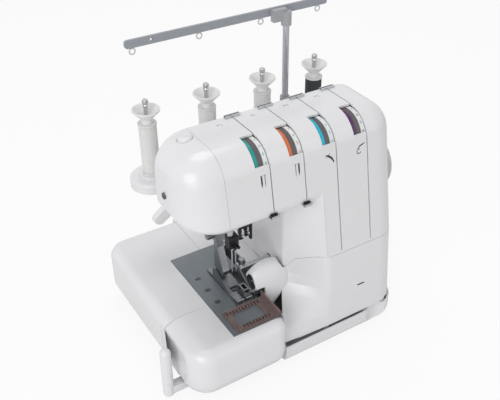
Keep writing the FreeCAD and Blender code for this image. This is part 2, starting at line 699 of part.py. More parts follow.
def low_front_edge(edge):
    bounds = edge.BoundBox
    return bounds.ZMax < FEET + 0.1 and bounds.XMax > BASE_STEP + 0.5 and bounds.YMax < HEAD_BACK / 2


def base_tray():
    """Moulded plinth under the whole machine, with its frame bosses and the hinge's lower knuckle."""
    right = RIGHT_X + 1
    outer = plan_solid(base_corners(right, 0), FEET, BASE_TOP)
    outer = fillet_edges(outer, BASE_ROUND, low_front_edge)
    tray = outer.cut(plan_solid(base_corners(right, WALL), FEET + BASE_ROUND, BASE_TOP + 1))
    for x, y in FRAME_BOSSES:
        tray = tray.fuse(rod(BOSS_R, x, y, FEET + 1, BASE_TOP - FEET - 1))
    lug = box(HINGE_X, BASE_LEFT + 2, HINGE_Y - 5, HINGE_Y + 5, FEET + 3, KNUCKLE_Z - 6)
    knuckle = rod(HINGE_R, HINGE_X, HINGE_Y, FEET + 2, KNUCKLE_Z - FEET - 2)
    tray = tray.fuse(lug).fuse(knuckle).cut(cloth_plate_hinge_pin())
    for x in COVER_POSTS:
        post = box(x, x + POST_W, COVER_HINGE_Y + SEAM_GAP, BLOCK_INSIDE, FEET + BASE_ROUND - 1,
                   COVER_BOTTOM + 3)
        tray = tray.fuse(post)
    tray = tray.cut(rod(COVER_PIN_R + RUN, COVER_POSTS[0] - 9, COVER_HINGE_Y, COVER_BOTTOM,
                        RIGHT_X - COVER_POSTS[0], X_DIR))
    scoop = Part.makeSphere(SCOOP_R, V(SCOOP_X, BASE_FRONT - SCOOP_R + SCOOP_DEPTH, BASE_TOP - 6))
    backing = box(SCOOP_X - 18, SCOOP_X + 18, BASE_FRONT + WALL, BASE_FRONT + SCOOP_DEPTH + 2 * WALL,
                  FEET + BASE_ROUND, BASE_TOP - 1)
    lip_corners = [(BASE_STEP, BASE_FRONT, 0), (right, BASE_FRONT, RIGHT_ROUND + 1), (right, COVER_BACK, 0),
                   (right - BASE_LIP_T, COVER_BACK, 0),
                   (right - BASE_LIP_T, BASE_FRONT + BASE_LIP_T, RIGHT_ROUND + 1 - BASE_LIP_T),
                   (BASE_STEP, BASE_FRONT + BASE_LIP_T, 0)]
    lip = plan_solid(lip_corners, BASE_TOP - 1, BASE_LIP)
    return tray.fuse([backing.common(outer), lip]).cut(scoop)


def rubber_feet():
    return [rod(FOOT_R, x, y, 0, FEET) for x, y in FOOT_PLACES]


def bed_cover():
    """Bed surface behind and to the right of the needle plate, with its back wall."""
    left = CLOTH_RIGHT + LOOSE
    right = THROAT_X - SEAM_GAP
    step = PLATE_BACK + SEAM_GAP
    deck = plan_solid([(left, step, 0), (left, REAR_Y, 0), (right, REAR_Y, 0), (right, GUARD_BACK + 4, 0),
                       (PLATE_RIGHT + 14, GUARD_BACK + 4, 0), (PLATE_RIGHT + 14, step, 0)], BED_TOP - WALL,
                      BED_TOP)
    wall = box(left, right, REAR_Y - WALL, REAR_Y, BASE_TOP + SEAM_GAP, BED_TOP)
    return deck.fuse(wall)


def needle_plate():
    corners = [(PLATE_LEFT, PLATE_FRONT), (PLATE_LEFT, PLATE_BACK), (PLATE_RIGHT, PLATE_BACK),
               (PLATE_RIGHT, PLATE_FRONT)]
    low, high = BED_TOP - OVER, BED_TOP + OVER
    plate = plan_solid([(x, y, PLATE_ROUND) for x, y in corners], BED_TOP - PLATE_T, BED_TOP)
    needle_slot = box(NEEDLE_X - 4.5, NEEDLE_X + 3.5, NEEDLE_Y - 4.5, NEEDLE_Y + 1, low, high)
    notch = box(KNIFE_EDGE, PLATE_RIGHT + 1, NOTCH_FRONT, NOTCH_BACK, low, high)
    plate = plate.cut(needle_slot).cut(notch)
    for x in FEED_ROWS:
        plate = plate.cut(box(x - 2.6, x + 2.6, FEED_FRONT - 4, FEED_BACK + 4, low, high))
    for y in PLATE_SCREWS:
        plate = plate.cut(rod(SCREW_R, PLATE_SCREW_X, y, low, 2 * OVER))
        plate = plate.cut(plate_screw_head(y))
    return plate


def plate_screw_head(y):
    return Part.makeCone(SCREW_R, SCREW_HEAD, PLATE_T, V(PLATE_SCREW_X, y, BED_TOP - PLATE_T))


def needle_plate_screws():
    screws = []
    for y in PLATE_SCREWS:
        screw = plate_screw_head(y).fuse(rod(SCREW_R, PLATE_SCREW_X, y, BED_TOP - PLATE_T - 8, 8))
        slot = box(PLATE_SCREW_X - OVER, PLATE_SCREW_X + OVER, y - SCREW_SLOT, y + SCREW_SLOT,
                   BED_TOP - 0.8, BED_TOP + 1)
        screws.append(screw.cut(slot))
    return screws


def main_frame():
    """Cast frame: floor, bed walls, two uprights and the arm with its bar guides."""
    floor = box(BASE_LEFT + 8, RIGHT_X - 16, 4, REAR_Y - 16, BASE_TOP, BASE_TOP + FLOOR_T)
    bed_left = box(PLATE_LEFT + 2, PLATE_LEFT + 18, PLATE_FRONT + 6, PLATE_BACK - 6, BASE_TOP,
                   BED_TOP - PLATE_T)
    bed_back = box(PLATE_LEFT + 2, THROAT_X - 2, PLATE_BACK - 6, PLATE_BACK + 6, BASE_TOP,
                   BED_TOP - WALL - LOOSE)
    bed_back = bed_back.cut(box(PLATE_LEFT, PLATE_RIGHT + 1, 0, PLATE_BACK + SEAM_GAP, BED_TOP - WALL - 1,
                                BED_TOP))
    lip = box(PLATE_LEFT + 2, PLATE_RIGHT, PLATE_BACK - 6, PLATE_BACK, BED_TOP - WALL - 2,
              BED_TOP - PLATE_T)
    casting = floor.fuse([bed_left, bed_back, lip])
    for x in UPRIGHTS:
        casting = casting.fuse(box(x, x + UPRIGHT_T, SHAFT_Y - 16, HEAD_BACK - 4, BASE_TOP, ARM_TOP))
    casting = casting.fuse(box(ARM_LEFT, UPRIGHTS[-1] + UPRIGHT_T, HEAD_BACK - 12, HEAD_BACK - 4, ARM_LOW,
                               ARM_TOP))
    for z in GUIDE_Z:
        casting = casting.fuse(box(PRESSER_X - 8, NEEDLE_BAR_X + 8, NEEDLE_BAR_Y - 8, HEAD_BACK - 8, z,
                                   z + GUIDE_T))
    casting = casting.fuse(box(REGULATOR_X - 7, ARM_LEFT + 4, REGULATOR_Y - 7, HEAD_BACK - 6, GUIDE_Z[1],
                               GUIDE_Z[1] + GUIDE_T))
    knife_bearing = box(KNIFE_BEARING_X, KNIFE_BEARING_X + 12, KNIFE_Y - 9, HEAD_BACK - 8, KNIFE_Z - 9,
                        KNIFE_Z + 9)
    knife_stay = box(KNIFE_BEARING_X, UPRIGHTS[0] + 2, SHAFT_Y, HEAD_BACK - 8, KNIFE_Z - 9, KNIFE_Z + 9)
    looper_bearing = box(LOWER_LOOPER_X - 10, UPPER_LOOPER_X + 10, LOOPER_BEARING_Y, LOOPER_BEARING_Y + 12,
                         BASE_TOP, UPPER_LOOPER_Z + 10)
    feed_guide = box(FEED_X - 10, FEED_X + 10, PLATE_BACK - 30, PLATE_BACK - 20, BASE_TOP, FEED_BAR_Z + 2)
    knife_post = box(KNIFE_EDGE - 4, KNIFE_EDGE + LOOSE, KNIFE_FRONT - 2, KNIFE_FRONT + 8, BASE_TOP,
                     BED_TOP - PLATE_T - 14)
    casting = casting.fuse([knife_bearing, knife_stay, looper_bearing, feed_guide, knife_post])
    dial_rail = box(SLOT_WIDTH, UPRIGHTS[-1] + UPRIGHT_T, DIAL_Y - 6, DIAL_Y + 6, ARM_LOW + 2, ARM_LOW + 8)
    stays = [box(x, x + UPRIGHT_T, DIAL_Y - 6, HEAD_BACK - 8, ARM_LOW + 2, ARM_LOW + 8) for x in UPRIGHTS]
    casting = casting.fuse([dial_rail] + stays)
    for x in SLOTS:
        ear = box(x + 3, x + 9, DIAL_Y - 6, DIAL_Y + 6, ARM_LOW + 4, DIAL_Z + 6)
        casting = casting.fuse(ear)
    return casting.cut(frame_bores()).fuse(looper_shafts() + tension_posts())


def frame_bores():
    bores = rod(BAR_R + RUN, PRESSER_X, PRESSER_Y, BED_TOP, HEAD_TOP)
    bores = bores.fuse(rod(BAR_R + RUN, NEEDLE_BAR_X, NEEDLE_BAR_Y, BED_TOP, HEAD_TOP))
    bores = bores.fuse(rod(POST_R + RUN, REGULATOR_X, REGULATOR_Y, ARM_LOW, HEAD_TOP))
    bores = bores.fuse(rod(BUSH_R, UPRIGHTS[0] - 5, SHAFT_Y, SHAFT_Z, RIGHT_X, X_DIR))
    bores = bores.fuse(rod(KNIFE_SHAFT_R + RUN, THROAT_X, KNIFE_Y, KNIFE_Z, UPRIGHTS[0] - 2, X_DIR))
    bores = bores.fuse(box(FEED_X - 4 - LOOSE, FEED_X + 4 + LOOSE, 0, PLATE_BACK - 15,
                           FEED_BAR_Z - 6 - LOOSE, FEED_BAR_Z + 12))
    bores = bores.fuse(rod(LIFTER_R + RUN, LIFTER_X, PRESSER_Y, LIFTER_Z, HEAD_BACK, Y_DIR))
    for x in SLOTS:
        bores = bores.fuse(rod(DIAL_R + 1, x - DIAL_W - 1.5, DIAL_Y, DIAL_Z, DIAL_W + 2, X_DIR))
    for y in PLATE_SCREWS:
        bores = bores.fuse(rod(SCREW_R, PLATE_SCREW_X, y, BED_TOP - PLATE_T - 8, 12))
    return bores


def presser_bar():
    bar = rod(BAR_R, PRESSER_X, PRESSER_Y, CLAMP_Z, ARM_TOP - CLAMP_Z)
    return bar.fuse(rod(2 * BAR_R, PRESSER_X, PRESSER_Y, COLLAR_Z, COLLAR_T))


def presser_spring():
    z0 = COLLAR_Z + COLLAR_T
    ring = rod(BAR_R + 3, PRESSER_X, PRESSER_Y, z0 + SEAM_GAP, GUIDE_Z[1] - z0 - 2 * SEAM_GAP)
    return ring.cut(rod(BAR_R + LOOSE, PRESSER_X, PRESSER_Y, z0, GUIDE_Z[1]))


def presser_foot_holder():
    """Clamp on the presser bar, with a shank that widens forwards above the foot's pin."""
    back, half = PRESSER_Y + SHANK_HALF, SHANK_HALF
    clamp = box(PRESSER_X - CLAMP_HALF, PRESSER_X + CLAMP_HALF, PRESSER_Y - CLAMP_HALF,
                PRESSER_Y + CLAMP_HALF, CLAMP_Z - 2, CLAMP_Z + 12)
    shank_foot = FOOT_PIN_Z + LUG_RISE + 2
    shank = box(PRESSER_X - half, PRESSER_X + half, PRESSER_Y - half, back, shank_foot, CLAMP_Z - 2)
    slope = side_solid([(PRESSER_Y - half, SHANK_SLOPE_TOP, 0), (back, SHANK_SLOPE_TOP, 0),
                        (back, shank_foot, 0), (SHANK_TOE, shank_foot, 0),
                        (SHANK_TOE, shank_foot + LUG_RISE, 1)], PRESSER_X - half, PRESSER_X + half)
    tongue = box(PRESSER_X - half / 2, PRESSER_X + half / 2, PRESSER_Y - half, back, FOOT_PIN_Z - LUG_RISE,
                 shank_foot)
    knob = rod(KNOB_R, PRESSER_X - 15, PRESSER_Y, CLAMP_Z + 5, 8, X_DIR)
    holder = clamp.fuse([shank, slope, tongue, knob])
    return holder.cut(rod(BAR_R, PRESSER_X, PRESSER_Y, CLAMP_Z, 20)).fuse(presser_foot_pin())


def presser_foot_pin():
    return rod(FOOT_PIN_R, PRESSER_X - 6, PRESSER_Y, FOOT_PIN_Z, 12, X_DIR)


def presser_foot():
    """Sole with its needle slot, the upright frame at its right front, and the lugs for its pin."""
    z0 = BED_TOP + LOOSE
    toe = z0 + FOOT_T
    sole = side_solid([(FOOT_FRONT, z0 + 3, 1), (FOOT_FRONT, toe + 3, 1), (FOOT_FRONT + 12, toe, 4),
                       (FOOT_BACK, toe, 1),
                       (FOOT_BACK, z0, 1), (FOOT_FRONT + 12, z0, 4)], FOOT_LEFT, FOOT_RIGHT)
    slot = box(NEEDLE_X - 5, NEEDLE_X + 5, NEEDLE_Y - 5, NEEDLE_Y + 4, z0 - 1, toe + 1)
    groove = box(NEEDLE_X - 1, NEEDLE_X + 1, FOOT_FRONT - 1, NEEDLE_Y, z0 - 1, toe + 5)
    foot = sole.cut(slot).cut(groove)
    low, high, left = toe - FOOT_SINK, toe + FRAME_H, FOOT_RIGHT - FRAME_W
    frame = box(left, FOOT_RIGHT, FRAME_FRONT, FRAME_BACK, low, high)
    inner_left, inner_right = left + FRAME_T, FOOT_RIGHT - FRAME_T
    room = box(inner_left, inner_right, FRAME_FRONT + FRAME_T, FRAME_BACK - FRAME_T, toe, high + 1)
    front_gap = box(inner_left, inner_right, FRAME_FRONT - 1, FRAME_FRONT + 2 * FRAME_T, toe + 2 * FRAME_T,
                    high - FRAME_T)
    foot = foot.fuse(frame.cut(room).cut(front_gap))
    lug_top = FOOT_PIN_Z + LUG_RISE
    for x in (PRESSER_X - LUG_HALF, PRESSER_X + LUG_HALF / 2):
        foot = foot.fuse(box(x, x + LUG_HALF / 2, PRESSER_Y - LUG_HALF, PRESSER_Y + LUG_HALF, low, lug_top))
    lug_front = PRESSER_Y - LUG_HALF + 1
    rib = side_solid([(lug_front, lug_top, 0), (lug_front, low, 0), (RIB_FRONT, low, 0),
                      (RIB_FRONT, toe + 1, 0)], FOOT_LEFT, FOOT_LEFT + LUG_HALF / 2)
    return foot.fuse(rib).cut(presser_foot_pin())


def presser_lifter():
    """White lever behind the head; its shaft ends in a crank pin under the presser bar's collar."""
    crank_y = HEAD_BACK - 12 - SEAM_GAP - WALL
    turn = math.radians(LIFTER_START)
    pin_x = LIFTER_X + LIFTER_CRANK * math.cos(turn)
    pin_z = LIFTER_Z + LIFTER_CRANK * math.sin(turn)
    shaft = rod(LIFTER_R, LIFTER_X, crank_y, LIFTER_Z, LIFTER_Y + 1 - crank_y, Y_DIR)
    cheek = rod(LIFTER_R + 1.2, (LIFTER_X + pin_x) / 2, crank_y, (LIFTER_Z + pin_z) / 2, WALL, Y_DIR)
    pin = rod(LIFTER_PIN_R, pin_x, PRESSER_Y - 2, pin_z, crank_y + 1 - PRESSER_Y + 2, Y_DIR)
    handle = front_solid([(LIFTER_X - 6, LIFTER_Z + 6, 5), (LIFTER_X + 6, LIFTER_Z + 6, 5),
                          (LIFTER_X + 6, LIFTER_Z - 6, 5), (LIFTER_TIP_X + 4, LIFTER_TIP_Z - 4, 5),
                          (LIFTER_TIP_X - 8, LIFTER_TIP_Z + 2, 5)], LIFTER_Y, LIFTER_Y + 8)
    return shaft.fuse([cheek, pin, handle])


def pressure_dial():
    z0 = GUIDE_Z[1] + GUIDE_T
    stem = rod(POST_R, REGULATOR_X, REGULATOR_Y, z0 - GUIDE_T, GUIDE_T)
    knob = rod(REGULATOR_R, REGULATOR_X, REGULATOR_Y, z0 + SEAM_GAP, HEAD_TOP + 2.5 - z0 - SEAM_GAP)
    knob = fillet_edges(knob, 3, lambda e: e.BoundBox.ZMin > HEAD_TOP + 2)
    return stem.fuse(rod(POST_R, REGULATOR_X, REGULATOR_Y, z0 - 1, 3)).fuse(knob)


def needle_bar():
    return rod(BAR_R, NEEDLE_BAR_X, NEEDLE_BAR_Y, CLAMP_Z + 6, ARM_TOP - CLAMP_Z - 6)


def needles():
    pair = []
    for side in (-1, 1):
        x = NEEDLE_X + side * NEEDLE_GAP / 2
        blade = rod(NEEDLE_R, x, NEEDLE_Y, NEEDLE_TIP + 4, CLAMP_Z + 5 - NEEDLE_TIP - 4)
        point = Part.makeCone(0.1, NEEDLE_R, 4, V(x, NEEDLE_Y, NEEDLE_TIP))
        pair.append(blade.fuse(point))
    return pair


def needle_clamp_screws():
    screws = []
    for side in (-1, 1):
        x = NEEDLE_X + side * NEEDLE_GAP / 2
        screw = rod(1.2, x, NEEDLE_Y - 8, CLAMP_Z + 4, 6, Y_DIR)
        screws.append(screw.fuse(rod(1.9, x, NEEDLE_Y - 8, CLAMP_Z + 4, 2, Y_DIR)))
    return screws


def needle_clamp():
    block = box(NEEDLE_BAR_X - BAR_R - 1, NEEDLE_X + 6, NEEDLE_BAR_Y - 5.5, NEEDLE_BAR_Y + 5.5, CLAMP_Z,
                CLAMP_Z + 16)
    block = fillet_edges(block, 1.5, lambda e: True)
    block = block.cut(rod(BAR_R, NEEDLE_BAR_X, NEEDLE_BAR_Y, CLAMP_Z + 6, 20))
    for solid in needles():
        block = block.cut(solid)
    return block.fuse(needle_clamp_screws())


def upper_knife():
    tip_z = BED_TOP + KNIFE_LIFT
    blade = [(KNIFE_Y - 4, KNIFE_Z + 5, 1), (KNIFE_Y + 4, KNIFE_Z - 2, 1), (KNIFE_FRONT + 8, tip_z, 1),
             (KNIFE_FRONT, tip_z, 1)]
    return side_solid(blade, KNIFE_X, KNIFE_X + KNIFE_T)


def upper_knife_holder():
    x0 = KNIFE_X + KNIFE_T
    block = box(x0, x0 + HOLDER_W, KNIFE_Y - 6, KNIFE_Y + 6, KNIFE_Z - 6, KNIFE_Z + 6)
    block = fillet_edges(block, 1.2, lambda e: True)
    block = block.fuse(rod(KNIFE_SHAFT_R, x0 + HOLDER_W - 1, KNIFE_Y, KNIFE_Z,
                           KNIFE_BEARING_X + 14 - x0 - HOLDER_W, X_DIR))
    return block.cut(rod(1.6, x0 + HOLDER_W / 2, KNIFE_Y, KNIFE_Z + 2, 9))


def knife_screw():
    x = KNIFE_X + KNIFE_T + HOLDER_W / 2
    return rod(1.6, x, KNIFE_Y, KNIFE_Z + 2, 6).fuse(rod(3.6, x, KNIFE_Y, KNIFE_Z + 6, 8))


def lower_knife():
    return box(KNIFE_EDGE + LOOSE, KNIFE_X - 0.1, KNIFE_FRONT, KNIFE_FRONT + 7, BED_TOP - PLATE_T - 16,
               BED_TOP)


def looper(axis_x, axis_z, y, blade):
    """A bent looper arm on its hub, drawn as an outline in the XZ plane."""
    hub = rod(LOOPER_HUB_R, axis_x, y, axis_z, LOOPER_W, Y_DIR)
    arm = front_solid(blade, y + 1, y + LOOPER_W - 1)
    return hub.fuse(arm).cut(rod(LOOPER_PIN_R + RUN, axis_x, y - 1, axis_z, LOOPER_W + 2, Y_DIR))


def upper_looper():
    x, z = UPPER_LOOPER_X, UPPER_LOOPER_Z
    bend, tip = x - UPPER_REACH * 2 / 3, x - UPPER_REACH
    top = z + UPPER_RISE
    blade = [(x, z + LOOPER_ARM, 1), (bend, z + UPPER_RISE * 0.9, 4), (tip, top, 0.6),
             (tip, top - LOOPER_TIP, 0.6), (bend, z + UPPER_RISE * 0.6, 4), (x, z - LOOPER_ARM, 1)]
    return looper(x, z, UPPER_LOOPER_Y, blade)


def lower_looper():
    x, z = LOWER_LOOPER_X, LOWER_LOOPER_Z
    bend, tip = x - LOWER_REACH * 2 / 3, x - LOWER_REACH
    top = z + LOWER_RISE
    blade = [(x - LOOPER_ARM, z, 1), (bend, top - LOOPER_TIP / 2, 4), (tip, top, 0.6),
             (tip, top - LOOPER_TIP, 0.6), (bend - LOOPER_TIP, z + LOWER_RISE * 0.76, 4),
             (x - 2 * LOOPER_ARM, z - LOOPER_ARM / 2, 1)]
    return looper(x, z, LOWER_LOOPER_Y, blade)


def looper_shafts():
    end = LOOPER_BEARING_Y + 12
    upper = rod(LOOPER_PIN_R, UPPER_LOOPER_X, UPPER_LOOPER_Y - 1, UPPER_LOOPER_Z, end - UPPER_LOOPER_Y + 1,
                Y_DIR)
    lower = rod(LOOPER_PIN_R, LOWER_LOOPER_X, LOWER_LOOPER_Y - 1, LOWER_LOOPER_Z, end - LOWER_LOOPER_Y + 1,
                Y_DIR)
    return [upper, lower]


def feed_dog():
    carrier = box(FEED_X - 8, FEED_X + 8, FEED_FRONT + 2, FEED_BACK - 2, FEED_BAR_Z, FEED_BAR_Z + 6)
    bar = box(FEED_X - 4, FEED_X + 4, FEED_BACK - 4, PLATE_BACK - 16, FEED_BAR_Z - 6, FEED_BAR_Z)
    dog = carrier.fuse(bar)
    for x in FEED_ROWS:
        row = box(x - 2, x + 2, FEED_FRONT, FEED_BACK, FEED_BAR_Z + 4, BED_TOP - LOOSE)
        for i in range(FEED_TEETH):
            y = FEED_FRONT + (i + 0.5) * (FEED_BACK - FEED_FRONT) / FEED_TEETH
            row = row.cut(box(x - 3, x + 3, y - 0.5, y + 0.5, BED_TOP - LOOSE - 1.2, BED_TOP))
        dog = dog.fuse(row)
    return dog


def seam_gauge():
    """Transparent brown gauge on the front of the needle plate, hinged at its right edge."""
    z0 = BED_TOP + GAUGE_LIFT
    plate = plan_solid([(GAUGE_LEFT, GAUGE_FRONT, 4), (GAUGE_LEFT, GAUGE_BACK, 3),
                        (GAUGE_RIGHT, GAUGE_BACK, 1), (GAUGE_RIGHT, GAUGE_FRONT, 1)], z0, z0 + GAUGE_T)
    left, right = GAUGE_LEFT + GAUGE_STRIP, GAUGE_RIGHT - GAUGE_GRIP
    front, back = GAUGE_FRONT + GAUGE_STRIP, GAUGE_BACK - GAUGE_STRIP
    corners = [(left, front), (left, back), (right, back), (right, front)]
    window = plan_solid([(x, y, GAUGE_T) for x, y in corners], z0 - 1, z0 + OVER)
    flange = box(GAUGE_RIGHT - GAUGE_T, GAUGE_RIGHT, GAUGE_FRONT, GAUGE_BACK, z0, z0 + GAUGE_RISE)
    barrel = rod(GAUGE_BARREL, GAUGE_HINGE_X, GAUGE_FRONT, gauge_hinge_z(), GAUGE_BACK - GAUGE_FRONT, Y_DIR)
    web = box(GAUGE_RIGHT - 1, GAUGE_HINGE_X, GAUGE_FRONT, GAUGE_BACK, z0, z0 + GAUGE_T)
    body = plate.cut(window).fuse([flange, barrel, web])
    return body.cut(rod(GAUGE_WIRE + RUN, GAUGE_HINGE_X, GAUGE_FRONT - 1, gauge_hinge_z(), 60, Y_DIR))


def gauge_hinge_z():
    return BED_TOP + GAUGE_LIFT + GAUGE_BARREL


def gauge_pin():
    y = PLATE_FRONT - GAUGE_WIRE_STEP
    wire = rod(GAUGE_WIRE, GAUGE_HINGE_X, y, gauge_hinge_z(), GAUGE_BACK - y, Y_DIR)
    leg = rod(GAUGE_WIRE, GAUGE_HINGE_X, y, BED_TOP - 6, gauge_hinge_z() + 6 - BED_TOP)
    return wire.fuse(leg).fuse(Part.makeSphere(GAUGE_WIRE, V(GAUGE_HINGE_X, y, gauge_hinge_z())))


def tension_dial(x):
    left = x - DIAL_W - DIAL_SET
    disc = rod(DIAL_R, left, DIAL_Y, DIAL_Z, DIAL_W, X_DIR)
    disc = fillet_edges(disc, 0.8, lambda e: e.Length > 6 * DIAL_R - 1)
    return disc.cut(rod(POST_R + RUN, left - 1, DIAL_Y, DIAL_Z, DIAL_W + 2, X_DIR))


def tension_posts():
    return [rod(POST_R, x - DIAL_W - DIAL_SET, DIAL_Y, DIAL_Z, DIAL_W + 9, X_DIR) for x in SLOTS]


def tension_discs():
    discs = []
    for x in SLOTS:
        for start in (0.2, 1.6):
            disc = rod(DISC_R, x + start, DIAL_Y, DIAL_Z, 1, X_DIR)
            discs.append(disc.cut(rod(POST_R, x, DIAL_Y, DIAL_Z, 5, X_DIR)))
    return discs


def handwheel():
    wheel = rod(WHEEL_R, WHEEL_X, SHAFT_Y, SHAFT_Z, WHEEL_T, X_DIR)
    wheel = fillet_edges(wheel, 4, lambda e: e.Length > 6 * WHEEL_R and e.BoundBox.XMin > WHEEL_X + 1)
    for i in range(WHEEL_GRIPS):
        turn = 2 * math.pi * i / WHEEL_GRIPS
        y = SHAFT_Y + (WHEEL_R + 2) * math.cos(turn)
        z = SHAFT_Z + (WHEEL_R + 2) * math.sin(turn)
        wheel = wheel.cut(rod(3.2, WHEEL_X - 1, y, z, WHEEL_T + 2, X_DIR))
    dish = rod(WHEEL_R - 9, OUTER_X - 3, SHAFT_Y, SHAFT_Z, 4, X_DIR)
    return wheel.cut(dish).cut(rod(SHAFT_R, WHEEL_X - 1, SHAFT_Y, SHAFT_Z, 10, X_DIR))


def main_shaft():
    shaft = rod(SHAFT_R, UPRIGHTS[0] - 6, SHAFT_Y, SHAFT_Z, WHEEL_X + 9 - UPRIGHTS[0] + 6, X_DIR)
    crank = rod(CRANK_R, UPRIGHTS[0] - 12, SHAFT_Y, SHAFT_Z, 8, X_DIR)
    pulley = rod(BIG_PULLEY_R, BELT_X - BELT_W / 2, SHAFT_Y, SHAFT_Z, BELT_W, X_DIR)
    return shaft.fuse([crank, pulley])


def shaft_bushes():
    bushes = []
    for x in UPRIGHTS:
        bush = rod(BUSH_R, x, SHAFT_Y, SHAFT_Z, UPRIGHT_T, X_DIR)
        bushes.append(bush.cut(rod(SHAFT_R + RUN, x - 1, SHAFT_Y, SHAFT_Z, UPRIGHT_T + 2, X_DIR)))
    return bushes


def motor():
    can = rod(MOTOR_R, MOTOR_X, MOTOR_Y, MOTOR_Z, MOTOR_L, X_DIR)
    foot = box(UPRIGHTS[0] - 4, UPRIGHTS[0] + MOTOR_L - 24, MOTOR_Y - 20, MOTOR_Y + 20, BASE_TOP + FLOOR_T,
               MOTOR_Z)
    end = MOTOR_X + MOTOR_L
    return can.fuse(foot).fuse(rod(MOTOR_SHAFT_R, end - 1, MOTOR_Y, MOTOR_Z, BELT_X + BELT_W - end, X_DIR))


def motor_pulley():
    ring = rod(SMALL_PULLEY_R, BELT_X - BELT_W / 2, MOTOR_Y, MOTOR_Z, BELT_W, X_DIR)
    return ring.cut(rod(MOTOR_SHAFT_R + RUN, BELT_X - BELT_W, MOTOR_Y, MOTOR_Z, 2 * BELT_W, X_DIR))


def belt_loop(grow):
    """Outline of the belt round both pulleys, a given distance outside their rims."""
    big, small = BIG_PULLEY_R + grow, SMALL_PULLEY_R + grow
    run_y, run_z = MOTOR_Y - SHAFT_Y, MOTOR_Z - SHAFT_Z
    heading = math.atan2(run_z, run_y)
    spread = math.acos((big - small) / math.hypot(run_y, run_z))

    def rim(y, z, radius, angle):
        return V(BELT_X - BELT_W / 2, y + radius * math.cos(angle), z + radius * math.sin(angle))

    big_a, big_b = [rim(SHAFT_Y, SHAFT_Z, big, heading + turn) for turn in (spread, -spread)]
    small_a, small_b = [rim(MOTOR_Y, MOTOR_Z, small, heading + turn) for turn in (spread, -spread)]
    far_small = rim(MOTOR_Y, MOTOR_Z, small, heading)
    far_big = rim(SHAFT_Y, SHAFT_Z, big, heading + math.pi)
    return Part.Wire([Part.makeLine(big_a, small_a), Part.Arc(small_a, far_small, small_b).toShape(),
                      Part.makeLine(small_b, big_b), Part.Arc(big_b, far_big, big_a).toShape()])


def drive_belt():
    outer = Part.Face(belt_loop(SEAM_GAP + BELT_T)).extrude(V(BELT_W, 0, 0))
    return outer.cut(Part.Face(belt_loop(SEAM_GAP)).extrude(V(BELT_W, 0, 0)))


def stitch_length_dial():
    knob = rod(STITCH_R, RIGHT_X + SEAM_GAP, STITCH_Y, STITCH_Z, STITCH_T, X_DIR)
    knob = fillet_edges(knob, 2, lambda e: e.BoundBox.XMin > RIGHT_X + STITCH_T - 1)
    return knob.fuse(rod(STITCH_SHAFT_R, RIGHT_X - 12, STITCH_Y, STITCH_Z, 13, X_DIR))


def switch_housing():
    half_w, half_h = SWITCH_W / 2, SWITCH_H / 2
    block = box(RIGHT_X - WALL - 16, RIGHT_X - WALL, SWITCH_Y - half_w - 2, SWITCH_Y + half_w + 2,
                SWITCH_Z - half_h - 3, SWITCH_Z + half_h + 3)
    axle_x = RIGHT_X - SWITCH_SINK
    return block.cut(rod(SWITCH_R + SEAM_GAP, axle_x, SWITCH_Y - half_w, SWITCH_Z, SWITCH_W, Y_DIR))


def power_switch():
    half_w = SWITCH_W / 2 - LOOSE
    rocker = rod(SWITCH_R, RIGHT_X - SWITCH_SINK, SWITCH_Y - half_w, SWITCH_Z, 2 * half_w, Y_DIR)
    dent = rod(SWITCH_R, RIGHT_X + 8, SWITCH_Y - half_w - 1, SWITCH_Z + 6, SWITCH_W + 2, Y_DIR)
    return rocker.cut(dent)


def power_inlet():
    half_w, half_h = INLET_W / 2, INLET_H / 2
    shell = box(RIGHT_X - 16, RIGHT_X, INLET_Y - half_w, INLET_Y + half_w, SWITCH_Z - half_h,
                SWITCH_Z + half_h)
    recess = box(RIGHT_X - 12, RIGHT_X + 1, INLET_Y - half_w + 4, INLET_Y + half_w - 4,
                 SWITCH_Z - half_h + 5, SWITCH_Z + half_h - 5)
    shell = shell.cut(recess)
    for side in (-1, 1):
        shell = shell.fuse(rod(1.2, RIGHT_X - 13, INLET_Y + side * 5, SWITCH_Z, 9, X_DIR))
    return shell


def screws():
    """Three needle plate screws, one in the nose and two in the back."""
    nose = rod(SCREW_R, NOSE_X, FACE_SCREW_Y, FACE_SCREW_Z, 8, X_DIR)
    nose = nose.fuse(rod(SCREW_HEAD, NOSE_X - 1.5, FACE_SCREW_Y, FACE_SCREW_Z, 1.5, X_DIR))
    group = needle_plate_screws()
    group.append(nose.cut(box(NOSE_X - 2, NOSE_X - 0.8, FACE_SCREW_Y - OVER, FACE_SCREW_Y + OVER,
                              FACE_SCREW_Z - SCREW_SLOT, FACE_SCREW_Z + SCREW_SLOT)))
    y = HEAD_BACK + SEAM_GAP + WALL
    for x in BACK_SCREWS:
        head = rod(SCREW_HEAD, x, y, BACK_SCREW_Z, 1.8, Y_DIR)
        group.append(head.cut(box(x - OVER, x + OVER, y + 0.9, y + 3, BACK_SCREW_Z - SCREW_SLOT,
                                  BACK_SCREW_Z + SCREW_SLOT)))
    return group


def thread_guides():
    """Clips on the top's back edge and small plates at the head's lower edge."""
    guides = []
    for x in SLOTS:
        clip = box(x - CLIP_W / 2, x + CLIP_W / 2, CLIP_Y, CLIP_Y + CLIP_D, HEAD_TOP, HEAD_TOP + CLIP_H)
        groove = box(x - CLIP_W, x + CLIP_W, CLIP_Y + 1.2, CLIP_Y + CLIP_D - 1.2, HEAD_TOP + 1.2,
                     HEAD_TOP + 9)
        guides.append(clip.cut(groove))
    for x in SLOTS[:2]:
        plate = box(x - 5, x + 5, panel_y(SHORT_SLOT_END) - 3, panel_y(SHORT_SLOT_END) + 4,
                    SHORT_SLOT_END - 6, SHORT_SLOT_END - 3)
        guides.append(plate.cut(head_solid(x - 9, x + 9, 0)))
    return guides


